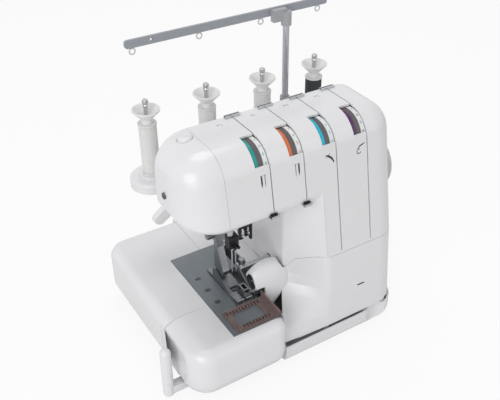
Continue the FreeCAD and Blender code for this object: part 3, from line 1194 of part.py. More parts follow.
def spool_tray():
    y0, y1 = SPOOL_Y - TRAY_R, SPOOL_Y + TRAY_R
    x0, x1 = SPOOLS[0] - TRAY_R, SPOOLS[-1] + TRAY_R
    end = TRAY_R - 0.01
    tray = plan_solid([(x0, y0, end), (x0, y1, end), (x1, y1, end), (x1, y0, end)], TRAY_Z, TRAY_Z + TRAY_H)
    tray = fillet_edges(tray, 3, lambda e: e.BoundBox.ZMin > TRAY_Z + TRAY_H - 0.1)
    room = plan_solid([(x0 + WALL, y0 + WALL, end - WALL), (x0 + WALL, y1 - WALL, end - WALL),
                       (x1 - WALL, y1 - WALL, end - WALL), (x1 - WALL, y0 + WALL, end - WALL)], TRAY_Z - 1,
                      TRAY_Z + TRAY_H - 2 * WALL)
    tray = tray.cut(room)
    for x in SPOOLS:
        tray = tray.fuse(rod(SEAT_R, x, SPOOL_Y, TRAY_Z + TRAY_H - 1, SEAT_H + 1))
    for x in SPOOLS:
        tray = tray.cut(rod(PIN_R, x, SPOOL_Y, TRAY_Z - 1, TRAY_H + SEAT_H + 2))
    return tray.cut(rod(TUBE_R, POLE_X, POLE_Y, TRAY_Z - 1, TRAY_H + 2))


def spool_pins():
    z0 = TRAY_Z + TRAY_H - 2 * WALL
    return [rod(PIN_R, x, SPOOL_Y, z0, PIN_TOP - z0) for x in SPOOLS]


def spool_bottom():
    return TRAY_Z + TRAY_H + SEAT_H


def thread_spools():
    spools = []
    z0 = spool_bottom()
    for x in SPOOLS:
        core = rod(CORE_R, x, SPOOL_Y, z0, SPOOL_H)
        core = core.fuse(rod(SPOOL_R, x, SPOOL_Y, z0, FLANGE_T))
        core = core.fuse(rod(SPOOL_R, x, SPOOL_Y, z0 + SPOOL_H - FLANGE_T, FLANGE_T))
        spools.append(core.cut(rod(CORE_BORE, x, SPOOL_Y, z0 - 1, SPOOL_H + 2)))
    return spools


def spool_caps():
    z0 = spool_bottom() + SPOOL_H
    bore = PIN_R + RUN
    rim = CAP_Z + CAP_T
    profile = [(bore, z0), (6, z0), (6, z0 + 4.5), (CAP_R, CAP_Z), (CAP_R, rim), (CAP_R - 1.2, rim),
               (5.2, z0 + 6.6), (bore, z0 + 6.6), (bore, z0)]
    caps = []
    for x in SPOOLS:
        wire = Part.makePolygon([V(x + r, SPOOL_Y, z) for r, z in profile])
        caps.append(Part.Face(wire).revolve(V(x, SPOOL_Y, 0), Z_DIR, 360))
    return caps


def arc_to(start, corner, end):
    """Arc from start to end whose tangents meet at the corner point."""
    middle = (start + end) * 0.5
    rise = (corner - middle).Length
    half = (end - start).Length / 2
    turn = math.atan2(rise, half)
    sag = half / math.sin(turn) * (1 - math.cos(turn))
    return Part.Arc(start, middle + (corner - middle).normalize() * sag, end).toShape()


def biarc(p0, t0, p1, t1):
    """Two tangent arcs from p0 to p1 with the given end directions."""
    v = p1 - p0
    t = t0 + t1
    a, b, c = t.dot(t) - 4, -2 * v.dot(t), v.dot(v)
    d = (-b - math.sqrt(b * b - 4 * a * c)) / (2 * a)
    q0, q1 = p0 + t0 * d, p1 - t1 * d
    joint = (q0 + q1) * 0.5
    return [arc_to(p0, q0, joint), arc_to(joint, q1, p1)]


def thread_winding(x):
    """Outer layer of thread: one tube from flange to flange round the spool's core."""
    radius = CORE_R + THREAD_R + THREAD_LAY
    bend = 2.2 * THREAD_R
    low = spool_bottom() + FLANGE_T
    high = low + SPOOL_H - 2 * FLANGE_T
    start, end = low + 2 * THREAD_R + bend, high - 2 * THREAD_R - bend
    pitch = (end - start) / TURNS
    climb = math.atan2(pitch, 2 * math.pi * radius)

    def point(turn):
        return V(x + radius * math.cos(2 * math.pi * turn), SPOOL_Y + radius * math.sin(2 * math.pi * turn),
                 start + pitch * turn)

    def heading(turn):
        flat = math.cos(climb)
        return V(-flat * math.sin(2 * math.pi * turn), flat * math.cos(2 * math.pi * turn), math.sin(climb))

    first, last = point(0), point(TURNS)
    inlet_corner = first - heading(0) * bend
    outlet_corner = last + heading(TURNS) * bend
    inlet, outlet = inlet_corner - Z_DIR * bend, outlet_corner + Z_DIR * bend
    edges = [Part.makeLine(V(inlet.x, inlet.y, low), inlet), arc_to(inlet, inlet_corner, first)]
    for i in range(2 * TURNS):
        edges += biarc(point(i / 2), heading(i / 2), point((i + 1) / 2), heading((i + 1) / 2))
    edges += [arc_to(last, outlet_corner, outlet), Part.makeLine(outlet, V(outlet.x, outlet.y, high))]
    path = Part.Wire(edges)
    ring = Part.Wire(Part.makeCircle(THREAD_R, V(inlet.x, inlet.y, low), Z_DIR))
    tube = path.makePipeShell([ring], True, False)
    print("winding gap to itself", round(self_gap(edges) - 2 * THREAD_R, 3))
    return tube


def self_gap(edges):
    """Least distance between points of the thread's path that lie more than half a turn apart."""
    points = []
    for edge in edges:
        points += edge.discretize(9)[:-1]
    apart = 18
    gaps = []
    for i, point in enumerate(points):
        gaps += [(point - other).Length for other in points[i + apart:i + 5 * apart]]
    return min(gaps)


def antenna_tube():
    z0 = BASE_TOP + FLOOR_T
    tube = rod(TUBE_R, POLE_X, POLE_Y, z0, TUBE_TOP - z0)
    return tube.cut(rod(POLE_R + RUN, POLE_X, POLE_Y, z0 + 4, TUBE_TOP))


def antenna_pole():
    return rod(POLE_R, POLE_X, POLE_Y, POLE_BOTTOM, BAR_TOP - BAR_H - POLE_BOTTOM)


def antenna_bracket():
    """Clamp at the top of the pole that carries the guide bar."""
    z1 = BAR_TOP - BAR_H
    collar = rod(TUBE_R, POLE_X, POLE_Y, z1 - BRACKET_H, BRACKET_H + BAR_H / 2)
    arm = box(POLE_X - BRACKET_W, POLE_X, POLE_Y - 2, POLE_Y + BAR_BACK, z1 - BRACKET_H / 2, BAR_TOP - 1)
    return collar.fuse(arm).cut(rod(POLE_R + RUN, POLE_X, POLE_Y, 0, z1)).cut(antenna_bar())


def antenna_bar():
    y0 = POLE_Y + BAR_BACK
    z0 = BAR_TOP - BAR_H
    corners = [(BAR_LEFT, z0), (BAR_LEFT, BAR_TOP), (BAR_RIGHT, BAR_TOP), (BAR_RIGHT, z0)]
    bar = front_solid([(x, z, BAR_H / 3) for x, z in corners], y0, y0 + BAR_T)
    return bar.cut(rod(1.8, LOOP_X + 22, y0 - 1, BAR_TOP - BAR_H / 2, BAR_T + 2, Y_DIR))


def antenna_loops():
    y = POLE_Y + BAR_BACK + BAR_T / 2
    z = BAR_TOP - BAR_H - LOOP_R - LOOP_WIRE
    places = [LOOP_X + LOOP_PITCH * i for i in range(SLOT_COUNT)]
    return [Part.makeTorus(LOOP_R, LOOP_WIRE, V(x, y, z), Y_DIR) for x in places]


SINGLE = [front_cover, face_cover, throat_cover, looper_cover, looper_cover_pin, knife_guard, rear_cover,
          front_bed_cover, cloth_plate, cloth_plate_hinge_pin, base_tray, bed_cover, needle_plate, main_frame,
          presser_bar, presser_spring, presser_foot_holder, presser_foot, presser_lifter, pressure_dial,
          needle_bar, needle_clamp, upper_knife, upper_knife_holder, knife_screw, lower_knife, upper_looper,
          lower_looper, feed_dog, seam_gauge, gauge_pin, handwheel, main_shaft, motor, motor_pulley,
          drive_belt, stitch_length_dial, power_switch, power_inlet, spool_tray, antenna_tube, antenna_pole,
          antenna_bracket, antenna_bar]
GROUPS = [rubber_feet, screws, needles, tension_discs, shaft_bushes, thread_guides, spool_pins, thread_spools,
          spool_caps, antenna_loops]

os.makedirs("parts", exist_ok=True)
for build in SINGLE:
    place(build.__name__, build())
for build in GROUPS:
    place(build.__name__, *build())
for i, x in enumerate(SLOTS):
    place("tension_dial_%d" % (i + 1), tension_dial(x))
place("white_thread_windings", *[thread_winding(x) for x in SPOOLS[:-1]])
place("grey_thread_winding", thread_winding(SPOOLS[-1]))
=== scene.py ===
# %% [markdown]
# # A home overlock machine, dressed in Blender
# The machine's solid pieces arrive as a fixed frame, already in place and in metres.
# This lesson gives each of them its finish and adds what solids are poor at: wound thread,
# printed numerals, knurled rims, tick marks, small signs and small fittings. Nothing that came
# with the frame is moved or reshaped, so every added piece goes where the frame says.

# %% Load the frame
import bpy
import bmesh
import json
import math
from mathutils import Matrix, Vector


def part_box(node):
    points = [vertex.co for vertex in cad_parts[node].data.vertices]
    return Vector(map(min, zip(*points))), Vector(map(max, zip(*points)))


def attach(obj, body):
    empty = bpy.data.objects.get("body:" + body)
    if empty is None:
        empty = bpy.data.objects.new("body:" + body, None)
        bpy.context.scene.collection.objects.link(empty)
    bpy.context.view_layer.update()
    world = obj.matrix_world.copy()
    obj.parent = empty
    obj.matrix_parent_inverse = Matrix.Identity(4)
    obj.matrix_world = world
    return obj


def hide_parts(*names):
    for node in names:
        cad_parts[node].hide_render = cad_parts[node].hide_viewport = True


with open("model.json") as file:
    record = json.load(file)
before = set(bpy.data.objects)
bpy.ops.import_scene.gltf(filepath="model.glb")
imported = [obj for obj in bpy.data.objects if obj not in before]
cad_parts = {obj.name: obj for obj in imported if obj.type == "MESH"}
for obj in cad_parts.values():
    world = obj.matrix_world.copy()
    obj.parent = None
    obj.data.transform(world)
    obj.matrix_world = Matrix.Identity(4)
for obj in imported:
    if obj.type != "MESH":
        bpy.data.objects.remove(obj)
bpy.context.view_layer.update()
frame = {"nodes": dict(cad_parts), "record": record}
nodes = frame["nodes"]

# %% [markdown]
# ## Units and places
# The machine was drawn in millimetres from the first thread slot, the front panel's lower seam
# and the table. The frame is centred and in metres. Each number could be turned into metres by
# hand, but a few helpers do it instead, so that sizes in this file read as on a drawing.

# %% Units and places
MM = 0.001
MIDDLE = (22.0, 97.5)
SLOT_PITCH = 40.9
SLOTS = [SLOT_PITCH * i for i in range(4)]


def spot(x, y, z):
    """A drawn point, in the frame's metres."""
    return Vector(((x - MIDDLE[0]) * MM, (y - MIDDLE[1]) * MM, z * MM))


def in_metres(*sizes):
    """Drawn sizes, in the frame's metres."""
    return tuple(size * MM for size in sizes)


def add_piece(name, mesh, body):
    """A finished mesh as one piece that rides on a body."""
    piece = bpy.data.objects.new(name, mesh)
    bpy.context.scene.collection.objects.link(piece)
    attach(piece, body)
    return piece


print("thread slots at", [round(spot(x, 0, 0).x, 4) for x in SLOTS])

# %% [markdown]
# ## One shader group for all surfaces
# Real mouldings and metals are never one flat colour. Plastic has a faint mottle and an
# orange-peel skin, and brushed metal has streaks. Each material could have its own noise nodes,
# but all of these are noise that is stretched more or less. So a single group makes them, and
# each material places it with its own values.

# %% Surface group
BROAD_DETAIL, FINE_DETAIL = 4.0, 2.0
FINE_TIMES = 9.0
SHADE_FROM, SHADE_TO = 0.3, 0.7
DARKEST = 0.55
NOISE_MIDDLE = 0.5
GROUP_INPUTS = (("Colour", "Color"), ("Mottle", "Float"), ("Roughness", "Float"), ("Spread", "Float"),
                ("Scale", "Float"), ("Stretch", "Vector"))
GROUP_OUTPUTS = (("Colour", "Color"), ("Roughness", "Float"), ("Height", "Float"))


def make_surface_group():
    """Noise in two sizes: the broad one shades the colour, the fine one varies roughness and height."""
    group = bpy.data.node_groups.new("surface_life", "ShaderNodeTree")
    for sockets, way in ((GROUP_INPUTS, "INPUT"), (GROUP_OUTPUTS, "OUTPUT")):
        for name, kind in sockets:
            group.interface.new_socket(name=name, in_out=way, socket_type="NodeSocket" + kind)
    new, link = group.nodes.new, group.links.new
    inside, outside = new("NodeGroupInput"), new("NodeGroupOutput")
    place, stretch = new("ShaderNodeTexCoord"), new("ShaderNodeVectorMath")
    stretch.operation = "MULTIPLY"
    broad, fine = new("ShaderNodeTexNoise"), new("ShaderNodeTexNoise")
    broad.inputs["Detail"].default_value = BROAD_DETAIL
    fine.inputs["Detail"].default_value = FINE_DETAIL
    finer = new("ShaderNodeMath")
    finer.operation = "MULTIPLY"
    finer.inputs[1].default_value = FINE_TIMES
    shade = new("ShaderNodeMapRange")
    shade.inputs["From Min"].default_value = SHADE_FROM
    shade.inputs["From Max"].default_value = SHADE_TO
    shade.inputs["To Min"].default_value = DARKEST
    blend = new("ShaderNodeMix")
    blend.data_type = "RGBA"
    blend.blend_type = "MULTIPLY"
    swing = new("ShaderNodeMath")
    swing.operation = "SUBTRACT"
    swing.inputs[1].default_value = NOISE_MIDDLE
    rough = new("ShaderNodeMath")
    rough.operation = "MULTIPLY_ADD"
    link(place.outputs["Object"], stretch.inputs[0])
    link(inside.outputs["Stretch"], stretch.inputs[1])
    link(inside.outputs["Scale"], finer.inputs[0])
    for noise, scale in ((broad, inside.outputs["Scale"]), (fine, finer.outputs[0])):
        link(stretch.outputs[0], noise.inputs["Vector"])
        link(scale, noise.inputs["Scale"])
    link(broad.outputs["Fac"], shade.inputs["Value"])
    link(inside.outputs["Mottle"], blend.inputs["Factor"])
    link(inside.outputs["Colour"], blend.inputs["A"])
    link(shade.outputs["Result"], blend.inputs["B"])
    link(fine.outputs["Fac"], swing.inputs[0])
    link(swing.outputs[0], rough.inputs[0])
    link(inside.outputs["Spread"], rough.inputs[1])
    link(inside.outputs["Roughness"], rough.inputs[2])
    link(blend.outputs["Result"], outside.inputs["Colour"])
    link(rough.outputs[0], outside.inputs["Roughness"])
    link(fine.outputs["Fac"], outside.inputs["Height"])
    return group


SURFACE = make_surface_group()
print("surface group:", len(SURFACE.nodes), "nodes")


# %% A material from the group
BUMP_DEPTH = 0.0002


def finish(name, colour, rough, metal=0.0, mottle=0.06, spread=0.06, scale=60.0, stretch=(1, 1, 1),
           bump=0.03, **plain):
    """A material: the surface group feeding a Principled shader, with plain numbers on its other sockets."""
    material = bpy.data.materials.new(name)
    material.use_nodes = True
    tree = material.node_tree
    shader = tree.nodes["Principled BSDF"]
    skin = tree.nodes.new("ShaderNodeGroup")
    skin.node_tree = SURFACE
    for socket, value in (("Colour", (*colour, 1.0)), ("Mottle", mottle), ("Roughness", rough),
                          ("Spread", spread), ("Scale", scale), ("Stretch", stretch)):
        skin.inputs[socket].default_value = value
    relief = tree.nodes.new("ShaderNodeBump")
    relief.inputs["Strength"].default_value = bump
    relief.inputs["Distance"].default_value = BUMP_DEPTH
    tree.links.new(skin.outputs["Colour"], shader.inputs["Base Color"])
    tree.links.new(skin.outputs["Roughness"], shader.inputs["Roughness"])
    tree.links.new(skin.outputs["Height"], relief.inputs["Height"])
    tree.links.new(relief.outputs["Normal"], shader.inputs["Normal"])
    shader.inputs["Metallic"].default_value = metal
    for socket, value in plain.items():
        shader.inputs[socket.replace("_", " ")].default_value = value
    return material


print("skin relief:", BUMP_DEPTH / MM, "mm deep at most")

# %% [markdown]
# ## Finishes
# The housing is glossy white with a cold cast. The needle plate is dark ground steel whose
# streaks run from front to back. Bright small parts are plated, foot and knife are a darker
# steel, the clamps are black, and the seam gauge is a clear brown moulding. Glass would bend
# the light in the thin gauge, so it is half see-through by its Alpha instead.

# %% Materials of the solid pieces
white = finish("white_moulding", (0.83, 0.83, 0.845), 0.24, mottle=0.025, bump=0.02, Coat_Weight=0.25)
cap_white = finish("cap_white", (0.85, 0.85, 0.85), 0.3, mottle=0.03, bump=0.02)
pale_grey = finish("pale_grey_moulding", (0.62, 0.62, 0.63), 0.3, mottle=0.04)
cast = finish("cast_alloy", (0.50, 0.51, 0.53), 0.5, 0.9, mottle=0.2, spread=0.15, scale=120, bump=0.25)
plate_steel = finish("plate_steel", (0.215, 0.24, 0.26), 0.4, 0.6, mottle=0.22, spread=0.12, scale=45,
                     stretch=(9, 0.5, 1), bump=0.06)
bright = finish("bright_steel", (0.56, 0.57, 0.59), 0.24, 1.0, mottle=0.15, spread=0.1, scale=90,
                stretch=(1, 1, 4))
foot_steel = finish("foot_steel", (0.30, 0.31, 0.325), 0.3, 1.0, mottle=0.25, spread=0.15, scale=70,
                    stretch=(1, 3, 1))
dark_screw = finish("dark_screw", (0.16, 0.16, 0.17), 0.3, 0.9, mottle=0.2)
polished = finish("polished_rod", (0.56, 0.57, 0.59), 0.14, 1.0, mottle=0.06, spread=0.04, scale=80)
black = finish("black_enamel", (0.012, 0.012, 0.014), 0.4, mottle=0.3, bump=0.08, Specular_IOR_Level=0.3)
black_plastic = finish("black_plastic", (0.02, 0.02, 0.021), 0.5, mottle=0.3, scale=200, bump=0.15)
bronze = finish("bronze_bush", (0.58, 0.40, 0.18), 0.38, 1.0, mottle=0.2)
motor_paint = finish("motor_paint", (0.05, 0.055, 0.06), 0.42, mottle=0.2)
rubber = finish("rubber", (0.02, 0.02, 0.02), 0.8, mottle=0.25, scale=150, bump=0.2)
grey_plastic = finish("grey_plastic", (0.40, 0.41, 0.43), 0.42, mottle=0.06, bump=0.05)
grey_paint = finish("grey_paint", (0.33, 0.35, 0.385), 0.4, 0.0, mottle=0.06, scale=90, bump=0.04)
loop_wire = finish("loop_wire", (0.62, 0.62, 0.63), 0.3, 0.2, mottle=0.05)
spool_white = finish("spool_white", (0.78, 0.78, 0.77), 0.45, mottle=0.05)
brown_clear = finish("brown_clear", (0.30, 0.20, 0.185), 0.12, mottle=0.1, bump=0.01, Alpha=0.42)
print("housing:", white.name, "and gauge:", brown_clear.name)

# %% [markdown]
# ## Which solid has which finish
# The machine's record names what each solid is made of, such as white plastic or bright steel.
# Each solid could be painted by hand, but one table that follows the record covers them all,
# apart from the dials and the thread, which are dressed later on. A short second table holds the
# few solids that look unlike others of the same stuff.

# %% Give each solid its finish
FINISHES = {
    "white_plastic": white, "pale_grey_plastic": pale_grey, "cast_alloy": cast, "plate_steel": plate_steel,
    "bright_steel": bright, "chrome_rod": polished, "black_enamel": black, "brown_clear": brown_clear,
    "bronze_bush": bronze, "motor_paint": motor_paint, "pulley_alloy": cast, "belt_rubber": rubber,
    "foot_rubber": rubber, "black_plastic": black_plastic, "spool_plastic": spool_white,
    "cap_plastic": cap_white, "grey_plastic": grey_plastic, "grey_paint": grey_paint}
OWN_FINISH = {"antenna_loops": loop_wire, "presser_foot": foot_steel, "presser_foot_holder": foot_steel,
              "upper_knife": foot_steel, "screws": dark_screw, "pressure_dial": white}

for part in frame["record"]["subparts"]:
    node = nodes[part["node"]]
    look = OWN_FINISH.get(part["node"], FINISHES.get(part["material_slot"]))
    if look is None:
        continue
    for place in node.material_slots:
        place.material = look
print("finishes:", len(FINISHES) + len(OWN_FINISH))

# %% [markdown]
# ## Growing repeats with Geometry Nodes
# Knurls, tick marks and thread turns all repeat. They could be copied in a loop, but a tree of
# nodes says the rule once and takes its sizes as named inputs. Each tree below is built once,
# run on an empty mesh, and baked down to a plain mesh of its own.

# %% Geometry Nodes helpers
def new_tree(name, sockets):
    """An empty tree with these inputs, and its first and last nodes."""
    tree = bpy.data.node_groups.new(name, "GeometryNodeTree")
    for label, kind in sockets:
        tree.interface.new_socket(name=label, in_out="INPUT", socket_type="NodeSocket" + kind)
    tree.interface.new_socket(name="Geometry", in_out="OUTPUT", socket_type="NodeSocketGeometry")
    return tree, tree.nodes.new("NodeGroupInput"), tree.nodes.new("NodeGroupOutput")


def close_tree(tree, given, result, shape):
    """Every tree ends the same way: real geometry, with its material."""
    real = tree.nodes.new("GeometryNodeRealizeInstances")
    paint = tree.nodes.new("GeometryNodeSetMaterial")
    tree.links.new(shape, real.inputs[0])
    tree.links.new(real.outputs[0], paint.inputs["Geometry"])
    tree.links.new(given.outputs["Material"], paint.inputs["Material"])
    tree.links.new(paint.outputs[0], result.inputs[0])


def grow(name, tree, **values):
    """The plain mesh that a tree makes with these inputs."""
    holder = bpy.data.objects.new(name, bpy.data.meshes.new(name))
    bpy.context.scene.collection.objects.link(holder)
    modifier = holder.modifiers.new("grow", "NODES")
    modifier.node_group = tree
    for item in tree.interface.items_tree:
        if item.in_out == "INPUT":
            modifier[item.identifier] = values[item.name.replace(" ", "_").lower()]
    bpy.context.view_layer.update()
    seen = holder.evaluated_get(bpy.context.evaluated_depsgraph_get())
    mesh = bpy.data.meshes.new_from_object(seen)
    mesh.name = name
    bpy.data.objects.remove(holder)
    return mesh


print("tree helpers:", new_tree.__name__, close_tree.__name__, grow.__name__)

# %% Tree: thread wound as a spiral
THREAD_SIDES = 6


def make_winding_tree():
    """A thread swept along a spiral of even radius."""
    tree, given, result = new_tree("wound_thread", (
        ("Turns", "Float"), ("Radius", "Float"), ("Height", "Float"), ("Thread", "Float"), ("Steps", "Int"),
        ("Place", "Vector"), ("Material", "Material")))
    path = tree.nodes.new("GeometryNodeCurveSpiral")
    ring = tree.nodes.new("GeometryNodeCurvePrimitiveCircle")
    ring.inputs["Resolution"].default_value = THREAD_SIDES
    sweep, move = tree.nodes.new("GeometryNodeCurveToMesh"), tree.nodes.new("GeometryNodeTransform")
    sweep.inputs["Fill Caps"].default_value = True
    links = (("Steps", path.inputs["Resolution"]), ("Turns", path.inputs["Rotations"]),
             ("Radius", path.inputs["Start Radius"]), ("Radius", path.inputs["End Radius"]),
             ("Height", path.inputs["Height"]), ("Thread", ring.inputs["Radius"]),
             ("Place", move.inputs["Translation"]))
    for label, socket in links:
        tree.links.new(given.outputs[label], socket)
    tree.links.new(path.outputs[0], sweep.inputs["Curve"])
    tree.links.new(ring.outputs[0], sweep.inputs["Profile Curve"])
    tree.links.new(sweep.outputs[0], move.inputs["Geometry"])
    close_tree(tree, given, result, move.outputs[0])
    return tree


WINDING = make_winding_tree()
print("tree:", WINDING.name, "with", len(WINDING.nodes), "nodes")


# %% Tree: ridges round a rim
def make_ridge_tree():
    """Bars set round a circle, each turned to face outwards."""
    tree, given, result = new_tree("rim_ridges", (
        ("Count", "Int"), ("Radius", "Float"), ("Ridge", "Vector"), ("Turn", "Vector"), ("Place", "Vector"),
        ("Material", "Material")))
    rim, bar = tree.nodes.new("GeometryNodeCurvePrimitiveCircle"), tree.nodes.new("GeometryNodeMeshCube")
    where = tree.nodes.new("GeometryNodeInputPosition")
    aim = tree.nodes.new("FunctionNodeAlignRotationToVector")
    aim.axis = "X"
    aim.pivot_axis = "Z"
    spread, move = tree.nodes.new("GeometryNodeInstanceOnPoints"), tree.nodes.new("GeometryNodeTransform")
    links = (("Count", rim.inputs["Resolution"]), ("Radius", rim.inputs["Radius"]),
             ("Ridge", bar.inputs["Size"]), ("Turn", move.inputs["Rotation"]),
             ("Place", move.inputs["Translation"]))
    for label, socket in links:
        tree.links.new(given.outputs[label], socket)
    tree.links.new(where.outputs[0], aim.inputs["Vector"])
    tree.links.new(rim.outputs[0], spread.inputs["Points"])
    tree.links.new(bar.outputs["Mesh"], spread.inputs["Instance"])
    tree.links.new(aim.outputs[0], spread.inputs["Rotation"])
    tree.links.new(spread.outputs[0], move.inputs["Geometry"])
    close_tree(tree, given, result, move.outputs[0])
    return tree


RIDGES = make_ridge_tree()
print("tree:", RIDGES.name, "with", len(RIDGES.nodes), "nodes")


# %% Tree: a straight row of bars
def make_row_tree():
    """Bars set along a straight line at even steps."""
    tree, given, result = new_tree("row_of_bars", (
        ("Count", "Int"), ("Start", "Vector"), ("Step", "Vector"), ("Bar", "Vector"),
        ("Material", "Material")))
    line, bar = tree.nodes.new("GeometryNodeMeshLine"), tree.nodes.new("GeometryNodeMeshCube")
    spread = tree.nodes.new("GeometryNodeInstanceOnPoints")
    links = (("Count", line.inputs["Count"]), ("Start", line.inputs["Start Location"]),
             ("Step", line.inputs["Offset"]), ("Bar", bar.inputs["Size"]))
    for label, socket in links:
        tree.links.new(given.outputs[label], socket)
    tree.links.new(line.outputs[0], spread.inputs["Points"])
    tree.links.new(bar.outputs["Mesh"], spread.inputs["Instance"])
    close_tree(tree, given, result, spread.outputs[0])
    return tree


ROW = make_row_tree()
print("tree:", ROW.name, "with", len(ROW.nodes), "nodes")

# %% [markdown]
# ## Turned pieces
# Dials, knobs and thread packs are turned shapes: one outline swept round an axis. A Screw
# modifier could sweep it, but building the rings by hand lets each stretch of the outline have
# its own material. The outline is closed, so the result is a closed skin.

# %% Lathe
CREASE = math.radians(35)
X_AXIS, Z_AXIS = (1, 0, 0), (0, 0, 1)


def sealed(name, shape, *looks):
    """A closed bmesh as a mesh with its faces turned outwards and its materials in order."""
    bmesh.ops.recalc_face_normals(shape, faces=shape.faces)
    mesh = bpy.data.meshes.new(name)
    shape.to_mesh(mesh)
    shape.free()
    for look in looks:
        mesh.materials.append(look)
    return mesh


def turned(name, outline, axis_point, axis, looks, segments):
    """Sweep a closed outline of (along, radius, look) round an axis; a look starts at its point."""
    along = Vector(axis)
    side = Vector(X_AXIS) if along.z else Vector(Z_AXIS)
    other = along.cross(side)
    shape = bmesh.new()
    rings = []
    for i in range(segments):
        turn = 2 * math.pi * i / segments
        out = side * math.cos(turn) + other * math.sin(turn)
        ring = [axis_point + along * (a * MM) + out * (r * MM) for a, r, look in outline]
        rings.append([shape.verts.new(point) for point in ring])
    count = len(outline)
    for i in range(segments):
        here, there = rings[i], rings[(i + 1) % segments]
        for k in range(count):
            face = shape.faces.new((here[k], here[(k + 1) % count], there[(k + 1) % count], there[k]))
            face.material_index = looks.index(outline[k][2])
    mesh = sealed(name, shape, *looks)
    smooth_by_angle(mesh)
    return mesh


def smooth_by_angle(mesh):
    """Smooth faces, with edges sharper than the crease left crisp."""
    mesh.shade_smooth()
    shape = bmesh.new()
    shape.from_mesh(mesh)
    for edge in shape.edges:
        edge.smooth = len(edge.link_faces) == 2 and edge.calc_face_angle(0) < CREASE
    shape.to_mesh(mesh)
    shape.free()


def merge(name, meshes):
    """Several meshes as one, with their materials kept."""
    holders = []
    for mesh in meshes:
        holder = bpy.data.objects.new(name, mesh)
        bpy.context.scene.collection.objects.link(holder)
        holders.append(holder)
    with bpy.context.temp_override(active_object=holders[0], selected_editable_objects=holders):
        bpy.ops.object.join()
    mesh = holders[0].data
    bpy.data.objects.remove(holders[0])
    mesh.name = name
    return mesh


print("lathe: edges above", round(math.degrees(CREASE)), "degrees stay crisp")

# %% [markdown]
# ## Tension dials
# Each dial shows three bands in its window: a glossy coloured band with a rounded edge, a
# grey grip band, and a white scale with numerals in the dial's colour. A picture on the rim
# could carry all this, but it would blur close up. So the bands are stretches of one turned
# outline, the grip band gets low ridges, and the numerals are meshes bent round the rim.

# %% Dial sizes and colours
DIAL_R, DIAL_W = 25.5, 16.3
DIAL_SET = 0.1
DIAL_Y, DIAL_Z = 50.0, 246.8
DIAL_SEGMENTS = 120
BORE_R = 3.05
COLOUR_BAND, GRIP_BAND = 4.7, 6.0
EDGE_ROUND, EDGE_STEPS = 1.6, 6
GROOVE_W, GROOVE_DROP = 0.35, 0.5
GRIP_DROP, SCALE_DROP = 0.25, 0.2
SCALE_BEVEL = 0.5
DIAL_COLOURS = ((0.0, 0.33, 0.295), (0.70, 0.165, 0.045), (0.0, 0.48, 0.68), (0.08, 0.009, 0.105))
grip = finish("dial_grip", (0.135, 0.12, 0.125), 0.42, mottle=0.1, bump=0.05)
scale_white = finish("dial_scale", (0.82, 0.84, 0.84), 0.3, mottle=0.03)


def dial_outline(colour):
    """Closed outline of a dial, from its left bore edge round the rim and back."""
    points = [(0, BORE_R, colour), (0, DIAL_R - EDGE_ROUND, colour)]
    for i in range(1, EDGE_STEPS):
        turn = math.pi / 2 * i / EDGE_STEPS
        along, drop = EDGE_ROUND * (1 - math.cos(turn)), EDGE_ROUND * (1 - math.sin(turn))
        points.append((along, DIAL_R - drop, colour))
    a = COLOUR_BAND
    b = COLOUR_BAND + GRIP_BAND
    scale_r = DIAL_R - SCALE_DROP
    points += [(EDGE_ROUND, DIAL_R, colour), (a - GROOVE_W, DIAL_R, grip),
               (a - GROOVE_W, DIAL_R - GROOVE_DROP, grip), (a, DIAL_R - GROOVE_DROP, grip),
               (a, DIAL_R - GRIP_DROP, grip), (b - GROOVE_W, DIAL_R - GRIP_DROP, grip),
               (b - GROOVE_W, scale_r - GROOVE_DROP, grip), (b, scale_r - GROOVE_DROP, scale_white),
               (b, scale_r, scale_white), (DIAL_W - SCALE_BEVEL, scale_r, scale_white),
               (DIAL_W, scale_r - SCALE_BEVEL, scale_white), (DIAL_W, BORE_R, colour)]
    return points


print("dial outline:", len(dial_outline(grip)), "points")

# %% Numerals bent round the rim
NUMERAL_SIZE, NUMERAL_HALF_T, NUMERAL_LIFT = 4.4, 0.04, 0.02
NUMERAL_STEPS = 3
SCALE_COUNT, SCALE_STEP = 10, math.radians(21)
REST_NUMERAL, REST_ANGLE = 5, math.radians(138)


def wrapped_text(text, centre_x, angle, look):
    """A numeral as a thin mesh, bent round the dial's rim so that it reads from the front."""
    curve = bpy.data.curves.new("numeral", "FONT")
    curve.body = text
    curve.size = NUMERAL_SIZE
    curve.align_x, curve.align_y = "CENTER", "CENTER"
    curve.extrude = NUMERAL_HALF_T
    curve.resolution_u = NUMERAL_STEPS
    holder = bpy.data.objects.new("numeral", curve)
    bpy.context.scene.collection.objects.link(holder)
    bpy.context.view_layer.update()
    mesh = bpy.data.meshes.new_from_object(holder.evaluated_get(bpy.context.evaluated_depsgraph_get()))
    bpy.data.objects.remove(holder)
    rim = DIAL_R - SCALE_DROP
    for vertex in mesh.vertices:
        across, up, out = vertex.co
        turn = angle - up / rim
        radius = rim + out + NUMERAL_LIFT
        y, z = DIAL_Y + radius * math.cos(turn), DIAL_Z + radius * math.sin(turn)
        vertex.co = spot(centre_x + across, y, z)
    mesh.materials.clear()
    mesh.materials.append(look)
    return mesh


print("numerals: one every", round(math.degrees(SCALE_STEP)), "degrees")

# %% Make the four dials
RIDGE_COUNT = 96
RIDGE_RISE, RIDGE_W, RIDGE_SHORT = 0.5, 0.7, 1.2
RIDGE_SHIFT = 0.2
ALONG_X = (0, math.pi / 2, 0)

